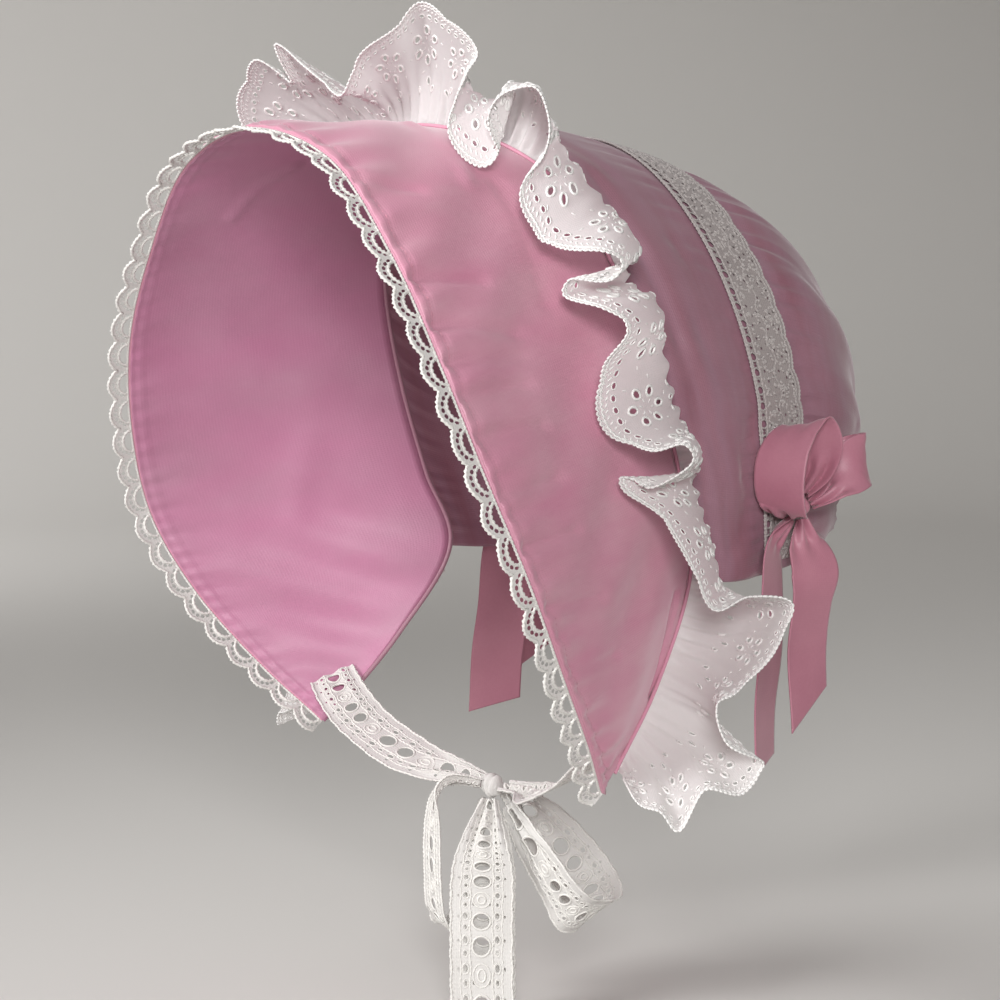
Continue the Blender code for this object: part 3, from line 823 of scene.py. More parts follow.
# %% Brim relief
BRIM_STITCH = 4.5         # distance of the top stitch from the rim
SHELL_PULL = 1.1          # height of the longer puckers that the stitch pulls up
CREASES = table(
    "station_a share_a station_b share_b depth reach",
    (2.25, 0.03, 2.47, 0.32, 0.9, 2.4),
    (2.67, 0.02, 2.98, 0.40, 1.1, 2.8),
    (3.02, 0.02, 3.17, 0.38, 0.8, 2.2),
    (3.29, 0.02, 3.40, 0.34, 1.1, 2.6),
    (3.64, 0.02, 3.76, 0.34, 1.1, 2.6),
    (4.17, 0.02, 4.24, 0.32, 1.0, 2.6),
    (4.72, 0.02, 4.75, 0.30, 0.9, 2.4),
    (5.35, 0.02, 5.50, 0.32, 0.9, 2.6),
    (6.10, 0.03, 6.20, 0.34, 0.7, 2.4),
    (1.30, 0.02, 1.55, 0.26, 0.6, 2.4),
    (0.42, 0.75, 1.59, 0.52, -0.9, 3.0),
    (1.64, 0.67, 2.85, 0.58, 0.7, 3.4),
    (6.04, 0.88, 6.67, 0.90, 1.5, 2.2),
    (6.67, 0.90, 7.05, 0.93, 1.2, 2.0),
    (-1.07, 0.53, -1.77, 0.33, 0.8, 3.0),
    (-4.40, 0.62, -5.20, 0.50, 0.3, 7.0),
)


def brim_width(station):
    return np.linalg.norm(rim_at(station) - back_at(station), axis=-1)


def near_line(points, a, b):
    """Distance of points from the line between two places."""
    share = np.clip((points - a) @ (b - a) / ((b - a) @ (b - a)), 0, 1)
    return np.linalg.norm(points - (a + share[..., None] * (b - a)), axis=-1)


def lines_pressed(points, place, rows):
    """How deep a set of folds presses into a surface; each fold is a soft groove along a line."""
    pressed = 0
    for a, b, c, d, depth, reach in zip(*rows.values()):
        start, end = place(np.float64(a), np.float64(b)), place(np.float64(c), np.float64(d))
        pressed = pressed + depth * np.exp(-((near_line(points, start, end) / reach) ** 2))
    return pressed


def brim_relief(station, share, points, pull_depth):
    """Height of the folds and stitches above the smooth brim."""
    inward = share * brim_width(station)
    run = station * BRIM_RUN
    full = np.sin(math.pi * np.clip(share, 0, 1))
    groove = -0.4 * np.exp(-((inward - BRIM_STITCH) ** 2))
    roll = 0.25 * np.exp(-(((inward - 1.8) / 1.5) ** 2))
    pucker = 0.30 * np.sin(run * FULL_TURN / 7.5 + 2 * waves(run / 20, inward / 20, 3))
    pucker = pucker * np.exp(-((inward / 8) ** 2))
    pull = pull_depth * np.sin(run * FULL_TURN / 15.5 + 2.5 * waves(run / 33, inward / 40, 17))
    pull = pull * np.clip(inward / 6, 0, 1) * np.exp(-((inward / 19) ** 2))
    soft = 2.0 * waves(run / 26, inward / 30, 7) + 1.1 * waves(run / 11, inward / 24, 9)
    soft = soft * full * np.clip((TIP - np.abs(station)) / 1.5, 0, 1)
    sway = 0.8 * np.sin(run * FULL_TURN / 47 + inward / 9) * full
    return groove + roll + pucker + pull + soft + sway - 1.8 * lines_pressed(points, brim_point, CREASES)


def brim_cloth(name, depth, thickness, finish):
    """One cloth of the brim, its middle at a depth below the outer face, and its area."""
    station = np.linspace(-TIP, TIP, 421)[:, None]
    share = (np.linspace(0, 1, 45) ** 1.35)[None, :]
    station, share = np.broadcast_arrays(station, share)
    middle = brim_point(station, share)
    normal = brim_normal(station, share)
    high = brim_relief(station, share, middle, SHELL_PULL if depth < CLOTH else 0.25)[..., None]
    front = middle + normal * (high - depth + thickness / 2)
    back = middle + normal * (high - depth - thickness / 2)
    points, faces, flat = wall(front, back, level(station * BRIM_RUN + 400, share * 95))
    piece = make_piece(name, points, faces, finish, flat)
    area = Bend(middle, 1, 1).area()
    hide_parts(name.replace("_cloth", ""))
    print(name, "flat area", round(area, 4), "square metres")
    return piece, area


shell, shell_area = brim_cloth("brim_shell_cloth", CLOTH / 2, CLOTH, pink)
inner, inner_area = brim_cloth("brim_lining_cloth", CLOTH + GAP + LINING / 2, LINING, lining)


# %% [markdown]
# ## Top stitch along the rim
# A line of small stitches holds the turned rim. Each stitch is a short cord that dips into the cloth
# at both ends, so it reads as thread and not as a printed dash.

# %% Top stitch
def rim_stitches():
    stations = np.linspace(-TIP, TIP, 1601)
    line = brim_point(stations, np.full_like(stations, 0.045))
    run = lengths(line)
    count = int(run[-1] / 3.0)
    points, faces = [], []
    for n in range(count):
        ends = (np.array([0.12, 0.5, 0.88]) + n) * run[-1] / count
        s = np.interp(ends, run, stations)
        share = BRIM_STITCH / brim_width(s)
        middle = brim_point(s, share)
        normal = brim_normal(s, share)
        high = brim_relief(s, share, middle, SHELL_PULL)[:, None]
        path = middle + normal * (high + np.array([[-0.1], [0.18], [-0.1]]))
        across = unit(np.cross(path[2] - path[0], normal[1]))
        points.append(rings(path, across, normal[1], 0.2, 4))
        faces.append(grid_faces(3, 4, 12 * n, closed=True))
    make_piece("brim_top_stitch", np.concatenate(points), np.concatenate(faces), pink_thread)


rim_stitches()

# %% [markdown]
# ## Fold, piping and binding
# Cloth has no raw edges on a finished bonnet. The rim ends in a narrow turned fold, a thin piping
# hides the root of the frill, and inside the seam is bound. Each is a smooth cord along a line.


# %% Edge cords
def edge_cord(name, line, radius, finish):
    """A smooth cord along a line of points, with closed ends."""
    ahead = unit(np.gradient(line, axis=0))
    across = unit(np.cross(ahead, [0.0, 0.0, 1.0]))
    out = np.cross(across, ahead)
    points = rings(line, across, out, radius, 8)
    faces = list(map(tuple, grid_faces(len(line), 8, closed=True)))
    faces += [tuple(range(8))[::-1], tuple(range(len(points) - 8, len(points)))]
    make_piece(name, points, faces, finish)


stations = np.linspace(-TIP + 0.02, TIP - 0.02, 700)
root, _, forward, outward = seam_frame(stations)
edge_cord("rim_fold", rim_at(stations) - outward * 1.2 - forward * 0.3, 0.9, pink)
edge_cord("seam_piping", root + outward * 0.7 + forward * 0.5, 0.85, pink)
binding = np.linspace(-TIP + 0.1, TIP - 0.1, 500)
_, _, forward, outward = seam_frame(binding)
# The binding uses the crown's darker pink, which is painted shade.
edge_cord("seam_binding", back_at(binding) - outward * 2.0 - forward * 0.6, 1.2, pink_in_shade)

# %% [markdown]
# ## The gathered crown
# The crown is one soft panel, gathered into the seam in front and under the lace, and again at the
# nape. Its folds are deepest where the thread draws the cloth together and fade where it is full, so
# each set of folds gets its own height and its own place along the crown.


# %% Crown
CROWN_FOLDS = table(
    "station_a section_a station_b section_b depth reach",
    (1.53, 0.88, 2.38, 0.70, 1.5, 3.8),
    (2.38, 0.70, 3.18, 0.70, 1.5, 3.8),
    (3.18, 0.70, 4.10, 0.62, 1.1, 3.8),
    (3.51, 0.78, 5.60, 0.98, 1.2, 3.6),
    (4.16, 0.36, 5.60, 0.68, 1.3, 3.6),
    (3.27, 0.16, 4.64, 0.20, 1.0, 3.6),
    (3.00, 1.20, 5.55, 1.12, 1.0, 5.0),
    (2.20, 1.45, 4.60, 1.50, 1.0, 3.8),
    (4.00, 1.80, 5.45, 1.35, 1.4, 6.0),
    (0.60, 0.90, 1.50, 1.20, 0.9, 4.2),
    (4.40, 3.20, 5.00, 4.40, 1.4, 4.8),
    (3.20, 3.10, 3.60, 5.00, 1.2, 5.0),
    (1.80, 3.10, 2.20, 4.60, 1.1, 5.0),
    (-1.20, 3.10, -1.40, 4.80, 1.1, 5.0),
    (-3.00, 3.10, -3.50, 5.20, 1.2, 5.0),
    (-3.20, 0.70, -4.80, 0.90, 1.3, 4.0),
    (-1.20, 0.80, -2.60, 0.70, 1.3, 4.0),
)


def bell(x, middle, reach):
    return np.exp(-(((x - middle) / reach) ** 2))


def crown_relief(station, section, points):
    s = np.abs(station)
    run = s * CROWN_RUN
    front = 0.45 * np.sin(math.pi * np.clip(section, 0, 2) / 2)
    rear = np.sin(math.pi * np.clip((section - 3) / 5, 0, 1))
    big = GATHER_DEPTH * np.sin(math.pi * GATHERS * s / CORNER) * np.maximum(front, rear)
    sway = 2.2 * waves(station * 1.7, section * 0.9, 11)
    near_seam = bell(section, 0, 0.55) * np.clip(section / 0.12, 0, 1)
    near_lace = bell(section, 2, 0.45) * np.clip((2 - section) / 0.15, 0, 1)
    after_lace = bell(section, 3, 0.7) * np.clip((section - 3) / 0.15, 0, 1)
    nape = bell(section, 8, 1.6)
    fine = np.sin(run * FULL_TURN / 9 + sway) + 0.5 * np.sin(run * FULL_TURN / 5.3 - 2 * sway)
    gathers = fine * (0.45 * near_seam + 0.5 * near_lace + 0.8 * after_lace + 0.9 * nape)
    soft = 1.2 * waves(station * 1.1, section * 3.0, 5) * np.maximum(2 * front, rear)
    cinch = -0.6 * bell(section, 3.08, 0.22) * (section > 2.9)
    return big + gathers + soft + cinch - lines_pressed(points, smooth_crown, CROWN_FOLDS)


def crown_at(station, section, lift=0.0):
    middle = smooth_crown(station, section)
    high = crown_relief(station, section, middle) + lift
    return middle + crown_normal(station, section) * high[..., None]


station = np.linspace(-CORNER, CORNER, 301)[:, None]
section = np.linspace(0, len(CROWN["top_y"]) - 1, 141)[None, :]
station, section = np.broadcast_arrays(station, section)
inset = np.array([0.0, CLOTH / 2 + GAP, 0.0]) * np.clip(1 - section / 0.1, 0, 1)[..., None]
outside = crown_at(station, section) + inset
inner_face = crown_at(station, section, -CLOTH) + inset
points, faces, flat = wall(outside, inner_face, level(station * CROWN_RUN + 300, section * 32))
crown_area = Bend(outside, 1, 1).area()
# The crown's darker pink is painted shade for the frill's shadow, and its lighter bands are painted highlight.
crown = make_piece("crown_cloth", points, faces, pink_in_shade, flat)
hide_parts("crown")
print("crown flat area", round(crown_area, 4), "square metres")

# %% [markdown]
# ## The eyelet frill
# The frill is a strip of white cotton embroidery about 60 mm wide and a metre and a half long. One
# long side is gathered into the seam of brim and crown, so it is packed there, and the free side
# swings out in lobes. Its bend runs from a table of turns: each turn says where on the seam the
# cloth starts and where its edge goes. Near the edge the flat drawing keeps its true size, and the
# rest is taken up by the gathers. Small pleats stand on the seam and fade over the first 20 mm.

# %% Frill bend
TRUE_WIDTH = 34.0         # width of cotton along the free edge that keeps its true size


def frill_turns():
    """Turns of the frill's edge from right tip to left tip: stations, points and swell."""
    root, run, forward, outward = seam_frame(RUFFLE["station"])
    points = (root + RUFFLE["forward"][:, None] * forward + RUFFLE["outward"][:, None] * outward
              + RUFFLE["along"][:, None] * run)
    far = slice(None, FAR_SIDE_FROM - 1, -1)
    stations = np.concatenate([-RUFFLE["station"][far], RUFFLE["station"]])
    lifts = np.concatenate([RUFFLE["lift"][far], RUFFLE["lift"]])
    return stations, np.vstack([points[far] * [-1.0, 1.0, 1.0], points]), lifts


def frill_bend(columns=1800, rows=44):
    stations, turns, lifts = frill_turns()
    steps = np.linspace(0, len(turns) - 1, (len(turns) - 1) * 40 + 1)
    line = along(turns, steps)
    run = lengths(line)
    u = np.linspace(0, run[-1], columns + 1)
    row = np.interp(u, run, steps)
    order = np.arange(len(turns))
    station = np.interp(row, order, stations)
    lift = np.interp(row, order, lifts)[:, None]
    edge = np.stack([np.interp(u, run, line[:, k]) for k in range(3)], -1)
    soften = np.exp(-np.linspace(-2, 2, 9) ** 2)
    station = np.convolve(np.pad(station, 4, "edge"), soften / soften.sum(), "valid")
    root, _, forward, outward = seam_frame(station)
    root = root + outward * (GAP + 0.5)
    reach = edge - root
    ahead = unit(reach)
    swell = outward * 0.95 - forward * 0.2
    swell = unit(swell - dot(swell, ahead) * ahead)
    elbow = root + reach * 0.4 + swell * lift * 2
    t = np.linspace(0, 1, 61)[None, :, None]
    path = root[:, None] * (1 - t) ** 2 + elbow[:, None] * 2 * t * (1 - t) + edge[:, None] * t ** 2
    v = np.linspace(0, FRILL_WIDTH, rows + 1)
    points = np.zeros((columns + 1, rows + 1, 3))
    widths = []
    for n in range(columns + 1):
        far_from_edge = lengths(path[n, ::-1])
        full = far_from_edge[-1]
        near = min(TRUE_WIDTH, full * 0.62)
        widths.append(full)
        beyond = near + (v - TRUE_WIDTH) / (FRILL_WIDTH - TRUE_WIDTH) * (full - near)
        place = np.where(v < TRUE_WIDTH, v / TRUE_WIDTH * near, beyond)
        points[n] = np.stack([np.interp(place, far_from_edge, path[n, ::-1, k]) for k in range(3)], -1)
    bend = Bend(points, run[-1], FRILL_WIDTH)
    print("frill reaches", round(min(widths)), "to", round(max(widths)), "mm, mean", round(np.mean(widths), 1))
    outside = np.sign(np.sum(bend.normals * swell[:, None], axis=-1, keepdims=True).mean(axis=1, keepdims=True))
    from_seam = FRILL_WIDTH - v[None, :]
    turn_of = u[:, None]
    pleat = 1 + np.sin(turn_of * FULL_TURN / 12.4 + 1.5 * waves(turn_of / 40, 0 * from_seam, 21))
    calm = 1 - 0.75 * np.clip((np.abs(station[:, None]) - 6.2) / 0.8, 0, 1)
    pleat = pleat * 2.0 * calm * bell(from_seam, 0, 20) * np.clip(from_seam / 3, 0, 1)
    fade = np.clip(from_seam / 20, 0, 1) * np.clip(v / 12, 0, 1)[None, :]
    soft = 0.9 * waves(turn_of / 17, from_seam / 19, 23) * fade
    bend.points = points + bend.normals * outside * (pleat + soft)[..., None]
    run_dir, cross_dir = np.gradient(bend.points, axis=0), np.gradient(bend.points, axis=1)
    bend.normals = unit(np.cross(run_dir, cross_dir)) * outside
    return bend


frill = frill_bend()
scallops = round(frill.length / FRILL_SCALLOP)
frill_pitch = frill.length / scallops
print("frill edge", round(frill.length), "mm,", scallops, "scallops, area", round(frill.area(), 4))

# %% [markdown]
# ## One repeat of the embroidery, drawn flat
# Broderie anglaise is cotton with small holes, each bound with thread. One repeat is a scallop
# wide. It has a row of little holes along the edge, a flower of larger ones above it, and leaves
# between the flowers. The holes are cut through, and the binding is a cord round each one. The
# repeat is drawn once, cut into triangles once, and laid side by side.


# %% Frill repeat
FLOWER = 23.5             # height of a flower's middle above the free edge


def frill_edge(u, pitch):
    """How far the free edge draws in between the tips of the scallops, with its small picots."""
    big = FRILL_SCALLOP_DEPTH * (1 - np.abs(np.sin(math.pi * u / pitch)))
    small = 1.0 * (1 - np.abs(np.sin(math.pi * u / (pitch / 14))))
    return big + small


def frill_holes(pitch):
    """Flat holes of a repeat: the row, the flower's petals and the leaves, as (u, v, wide, high, turn)."""
    row = [(u, 8.4 + 0.4 * frill_edge(u, pitch), 2.4, 1.7, 0.0) for u in (np.arange(6) + 0.5) * pitch / 6]
    petals = [(pitch / 2 + 7.4 * math.cos(a), FLOWER + 7.4 * math.sin(a), 3.5, 2.6, a)
              for a in np.radians(60 * np.arange(6) + 30)]
    leaves = [
        (pitch * 0.5, 40.5, 3.0, 1.7, math.pi / 2),
        (pitch * 0.27, 43.5, 3.0, 1.6, math.radians(50)),
        (pitch * 0.73, 43.5, 3.0, 1.6, math.radians(130)),
    ]
    return row, petals, leaves


row, petals, leaves = frill_holes(frill_pitch)
holes = [oval(*hole) for hole in row] + [oval(*hole, sides=12) for hole in petals]
holes += [oval(*hole) for hole in leaves]
u = np.linspace(0, frill_pitch, 57)
seam = level(np.linspace(0, frill_pitch, 13), FRILL_WIDTH)
outline = strip_outline(level(u, frill_edge(u, frill_pitch)), seam, 27)
cell = cut_repeat(outline, holes, 2.3)
flat, faces = lay([cell] * scallops, frill_pitch)
frill_area = drawn_area(flat, faces)
frill_cotton = make_piece("frill_cotton", frill.at(flat), faces, cotton, flat)
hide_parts("ruffle")
print("one repeat:", len(cell[0]), "points and", len(holes), "holes; all:", len(holes) * scallops, "holes")

# %% [markdown]
# ## Stitches on the cotton
# The embroidery is thread on top of the cloth: a cord round each hole, two cords along the edge and
# short raised stitches between them. All of them are drawn flat, like the holes.


# %% Frill embroidery
def grain(u, v, turn, long, radius):
    """One raised stitch: a short cord with pointed ends."""
    t = np.array([-0.5, -0.25, 0.25, 0.5]) * long
    thick = radius * np.array([0.15, 1.0, 1.0, 0.15])
    return level(u + t * math.cos(turn), v + t * math.sin(turn)), thick, 0.0, False


def bound(hole, wider, start, radius, lift=0.0, sides=8):
    """The cord that binds a hole; it is an oval a little wider than the hole."""
    u, v, wide, high, turn = hole
    return oval(u, v, wide + wider, high + wider, turn, sides) + start, radius, lift, True


def shifted(cord, start):
    return (cord[0] + start, *cord[1:])


def frill_cords():
    draw = np.random.default_rng(4)
    u = np.arange(0, frill.length, frill_pitch / 56)
    edge = frill_edge(u, frill_pitch)
    cords = [(level(u, edge + 0.2), 0.5, 0.0, False),
             (level(u, FRILL_SCALLOP_DEPTH * 0.4 + 0.6 * edge + 1.2), 0.4, 0.0, False)]
    for n in range(scallops):
        start = np.array([n * frill_pitch, 0.0])
        cords += [bound(hole, 0.7, start, 0.36, 0.05) for hole in row]
        cords += [bound(hole, 1.1, start, 0.62, sides=12) for hole in petals]
        cords += [bound(hole, 0.8, start, 0.36, 0.05) for hole in leaves]
        for k in range(24):
            a = (k + 0.5) / 24 * frill_pitch
            turn = math.pi / 2 + (0.7 if k % 2 else -0.7) + draw.uniform(-0.2, 0.2)
            high = 2.4 + 2.3 * (k % 2) + frill_edge(a, frill_pitch) * 0.8
            cords.append(shifted(grain(a, high, turn, 2.3, 0.42), start))
        for k in range(12):
            a = math.radians(30 * k + 15)
            radius, turn = (13.2, a + 0.6) if k % 2 else (3.2, a)
            u, v = frill_pitch / 2 + radius * math.cos(a), FLOWER + radius * math.sin(a)
            cords.append(shifted(grain(u, v, turn, 2.2, 0.3), start))
    return cords


points, faces = tubes(frill, frill_cords())
frill_thread = make_piece("frill_embroidery", points, faces, white_thread)
print("frill area cut flat", round(frill_area, 4), "square metres without its holes")

# %% [markdown]
# ## Crochet along the rim
# The rim carries an edging of small scallops in ivory thread. A real one is crocheted: a straight
# header is sewn on, and a double arch with a gap behind it is worked into the header, again and
# again. Here a thin flat ground holds the arch, and thick knobbly cords lie on it, so it
# is open where the real one is open.

# %% Rim lace
# Half sizes along the rim and away from it: the gap, the inner arch, and the arch of small holes
RIM_GAP = (4.8, 3.5)
RIM_ARCH = (5.3, 4.3)
RIM_HOLES = (6.0, 6.3)


def rim_bend():
    steps = np.linspace(-TIP, TIP, 1601)
    run = lengths(rim_at(steps))
    u = np.linspace(0, run[-1], 1201)
    station = np.interp(u, run, steps)
    _, _, forward, outward = seam_frame(station)
    blend = np.clip(np.abs(station) / 0.3, 0, 1)[:, None]
    outward = unit(outward * blend + (1 - blend) * seam_frame(np.zeros_like(station))[3])
    away = np.array([0.0, -0.7, 0.0]) + forward * 0.3
    tangent = unit(rim_at(np.minimum(station + 0.02, TIP)) - rim_at(np.maximum(station - 0.02, -TIP)))
    away = unit(away - dot(away, tangent) * tangent)
    start = rim_at(station) - outward * (CLOTH + GAP / 2) + away * (GAP + 0.2)
    reach = np.linspace(0, RIM_LACE_DEPTH + 1, 13)
    wave = 0.5 * np.sin(u[:, None] * FULL_TURN / 21) * (reach / RIM_LACE_DEPTH)[None]
    points = start[:, None] + away[:, None] * reach[None, :, None] + outward[:, None] * wave[..., None]
    return Bend(points, run[-1], RIM_LACE_DEPTH + 1)


def rim_edge(u, low):
    """The lace's bumpy outer edge, lowered a little for the cord that lies on it."""
    arch = np.abs(np.sin(math.pi * u / rim_pitch)) ** 0.8
    return (RIM_LACE_DEPTH - low) * (0.6 + 0.4 * arch) + 0.4 * np.abs(np.sin(6 * math.pi * u / rim_pitch))


def knobs(count, radius):
    """Radius of a crocheted cord, thick and thin in turn."""
    return radius * np.where(np.arange(count) % 2, 1.35, 0.6)


rim = rim_bend()
rim_count = round(rim.length / RIM_SCALLOP)
rim_pitch = rim.length / rim_count
u = np.linspace(0, rim_pitch, 41)
outline = strip_outline(level(u, 0.0), level(u, rim_edge(u, 1.0)), 8)
gap = arc(rim_pitch / 2, 1.1, *RIM_GAP, 13)
small = [oval(rim_pitch / 2 + RIM_HOLES[0] * math.cos(a), 0.9 + RIM_HOLES[1] * math.sin(a),
              2.1, 1.7, a + math.pi / 2, 6) for a in np.radians([20, 43, 66, 90, 114, 137, 160])]
flat, faces = lay([cut_repeat(outline, [gap, *small], 1.2)] * rim_count, rim_pitch)
rim_area = drawn_area(flat, faces)
rim_ground = make_piece("rim_lace_ground", rim.at(flat), faces, ivory, flat)
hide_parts("rim_lace")

u = np.arange(0, rim.length, 0.85)
cords = [(level(u, 0.5), knobs(len(u), 0.5), 0.0, False),
         (level(u, rim_edge(u, 1.2)), knobs(len(u), 0.68), 0.0, False)]
for n in range(rim_count):
    cords.append((arc((n + 0.5) * rim_pitch, 0.8, *RIM_ARCH, 17), knobs(17, 0.68), 0.1, False))
points, faces = tubes(rim, cords, sides=5)
rim_cords = make_piece("rim_lace_cords", points, faces, ivory_thread)
print("rim lace", round(rim.length), "mm,", rim_count, "scallops")

# %% [markdown]
# ## The lace over the crown
# A flat ivory lace, about 32 mm wide, runs from bow to bow over the gathers. It has a row of holes
# along its front edge, large and small in turn, an open bumpy middle and a scalloped back edge. It
# lies straight on the crown, so its bend is the crown's own surface with a small lift.

# %% Crown lace
BAND_WIDTH = 32.0
BAND_FROM, BAND_TO = 2.0, 3.0   # crown sections between which the lace lies
BAND_END = 5.85                 # crown station of its end, under the bow
HOLE_ROW = 3.6                  # height of the row of holes above the front edge
LARGE_HOLES = (0.25, 0.78)      # their places in a repeat


def band_bend():
    steps = np.linspace(-BAND_END, BAND_END, 801)
    middle = smooth_crown(steps, np.full_like(steps, (BAND_FROM + BAND_TO) / 2))
    run = lengths(middle)
    station = np.interp(np.linspace(0, run[-1], 501), run, steps)[:, None]
    section = np.linspace(BAND_FROM, BAND_TO, 33)[None, :]
    station, section = np.broadcast_arrays(station, section)
    return Bend(crown_at(station, section, 0.9), run[-1], BAND_WIDTH)


band = band_bend()
band_scallops = round(band.length / 14.0)
band_pitch = band.length / band_scallops


def band_back(u):
    """The scalloped back edge."""
    return 29.6 + 2.0 * np.abs(np.sin(math.pi * u / band_pitch)) ** 0.7


u = np.linspace(0, band_pitch, 21)
outline = strip_outline(level(u, 0.0), level(u, band_back(u)), 19)
large = [oval(band_pitch * x, HOLE_ROW, 3.0, 3.6) for x in LARGE_HOLES]
small = [oval(band_pitch * x, HOLE_ROW, 1.4, 1.9, 0, 6) for x in (0.51, 0.045, 0.955)]
small += [oval(band_pitch * x, v, 1.4, 1.0, turn, 6) for x, v, turn in (
    (0.2, 9.0, 0.6), (0.5, 10.5, 0.0), (0.8, 9.0, -0.6), (0.35, 14.5, 0.3), (0.65, 14.5, -0.3),
    (0.15, 18.5, 0.8), (0.5, 18.8, 0.0), (0.85, 18.5, -0.8), (0.33, 23.0, 0.2), (0.67, 23.0, -0.2),
    (0.5, 26.8, 0.0), (0.22, 26.0, 0.5), (0.78, 26.0, -0.5))]
flat, faces = lay([cut_repeat(outline, large + small, 1.5)] * band_scallops, band_pitch)
band_area = drawn_area(flat, faces)
# The crown lace gets the darker ivory, which is painted shade from the frill.
band_ground = make_piece("crown_lace_ground", band.at(flat), faces, ivory_in_shade, flat)
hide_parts("crown_lace_band")
u = np.arange(0, band.length, 0.9)
middle_wave = 16.6 - 1.6 * np.sin(u * FULL_TURN / band_pitch)
cords = [(level(u, v), knobs(len(u), radius), lift, False) for v, radius, lift in (
    (0.5, 0.6, 0.1), (1.7, 0.35, 0.1), (5.6, 0.42, 0.1), (middle_wave, 0.3, 0.0),
    (band_back(u) - 3.4, 0.36, 0.1), (band_back(u) - 0.4, 0.55, 0.1))]
draw = np.random.default_rng(12)
for n in range(band_scallops):
    start = np.array([n * band_pitch, 0.0])
    for x in LARGE_HOLES:
        cords.append((oval(band_pitch * x, HOLE_ROW, 4.0, 4.6) + start, 0.4, 0.0, True))
    for k in range(64):
        a, b = draw.uniform(0.05, 0.95) * band_pitch, draw.uniform(7, 28)
        cords.append(shifted(grain(a, b, draw.uniform(0, math.pi), 1.9, 0.62), start))
points, faces = tubes(band, cords)
band_cords = make_piece("crown_lace_cords", points, faces, thread_in_shade)
print("crown lace", round(band.length), "mm long,", band_scallops, "scallops")

# %% [markdown]
# ## Ribbons: bunched at the knot, flat at the end
# A ribbon keeps its width all the way, but a knot squeezes it, and what the eye sees there is
# the same width laid in folds. The path tables say how wide the ribbon looks at each row. From that
# the folds work themselves out: the narrower it looks, the deeper they are. The same function makes
# the satin bows and the lace tie.


# %% Ribbon bend
def ribbon_bend(path, place, seed, cut=0.0, rows=150, columns=24, folds=2.5):
    """The bend of a ribbon along its path; cut is how far its end slants."""
    values = list(path.values())
    t = np.linspace(0, len(values[0]) - 1, rows + 1)
    middle = place(*(along(value, t) for value in values[:3]))
    wide = place(*(along(value, t) for value in values[3:])) - place(0.0, 0.0, 0.0)
    ahead = unit(np.gradient(middle, axis=0))
    seen = np.linalg.norm(wide, axis=1)
    side = unit(wide - dot(wide, ahead) * ahead)
    out = np.cross(ahead, side)
    squeeze = seen.max() / seen
    deep = seen / (math.pi * folds) * np.sqrt(np.maximum(squeeze - 1, 0)) * np.clip((squeeze - 1.04) * 3, 0, 1)
    deep = np.minimum(deep, 1.7)[:, None]
    v = np.linspace(-0.5, 0.5, columns + 1)[None, :]
    run = lengths(middle)[:, None]
    height = deep * np.sin(FULL_TURN * folds * v + 0.7 * np.sin(run / 23 + seed) + seed)
    height = height + 0.75 * waves(run / 13, v * 1.9, seed) * (seen / seen.max())[:, None]
    slant = cut * np.clip((np.linspace(0, 1, rows + 1) - 0.7) / 0.3, 0, 1)[:, None] * (-2 * v)
    points = (middle[:, None] + side[:, None] * (seen[:, None] * v)[..., None]
              + out[:, None] * height[..., None] + ahead[:, None] * slant[..., None])
    return Bend(points, run[-1, 0], seen.max())


def satin_ribbon(name, bend, thickness=0.45):
    """A ribbon as a thin wall, with a firm woven edge on both sides."""
    rows, columns = bend.points.shape[:2]
    u, v = np.meshgrid(np.linspace(0, bend.length, rows), np.linspace(0, bend.width, columns), indexing="ij")
    half = thickness / 2 + 0.12 * bell(np.minimum(v, bend.width - v), 0, 0.9)[..., None]
    above, below = bend.points + bend.normals * half, bend.points - bend.normals * half
    points, faces, flat = wall(above, below, level(u, v))
    piece = make_piece(f"{name}_ribbon", points, faces, satin, flat)
    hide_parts(name)
    print(" ", name, "length", round(bend.length), "mm, width", round(bend.width))


# %% [markdown]
# ## Knots
# A knot is the same ribbon wrapped tight: a small cushion with a few ridges that run round it. It is
# made from a sphere of fine rings whose radius swells between the creases, then squashed to size.


# %% Knots
def knot_wrap(name, centre, size, finish, order, turn=0.0, fold=0.2):
    """A wrapped knot; order says which axis of the ball points along x, y and z."""
    around, rows, creases = 64, 40, 3
    a = np.linspace(0, FULL_TURN, around, endpoint=False)[None, :]
    b = np.linspace(0.06, math.pi - 0.06, rows)[:, None]
    across = np.cos(b) + 0 * a
    ridge = np.abs(np.sin(creases * math.pi * (across + 1) / 2 + 0.5 * np.sin(a * 2 + turn)))
    swell = 1 - fold + fold * ridge ** 0.6 + 0.05 * np.sin(3 * a + 4 * across + turn)
    swell = swell * np.sin(b) ** 0.6
    ball = np.stack([across, np.cos(a) * swell, np.sin(a) * swell], -1)
    points = (ball[..., order] * size + centre).reshape(-1, 3)
    faces = list(map(tuple, grid_faces(rows, around, closed=True)))
    faces += [tuple(range(around))[::-1], tuple(range((rows - 1) * around, rows * around))]
    piece = make_piece(f"{name}_wrap", points, faces, finish)
    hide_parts(name)


# %% [markdown]
# ## Side bows
# Each bow sits where the crown lace ends: one big loop stands up beside the crown, a small one lies
# behind it, and two long tails hang with slanted ends. Only the left one is in view, and the right
# one repeats it.

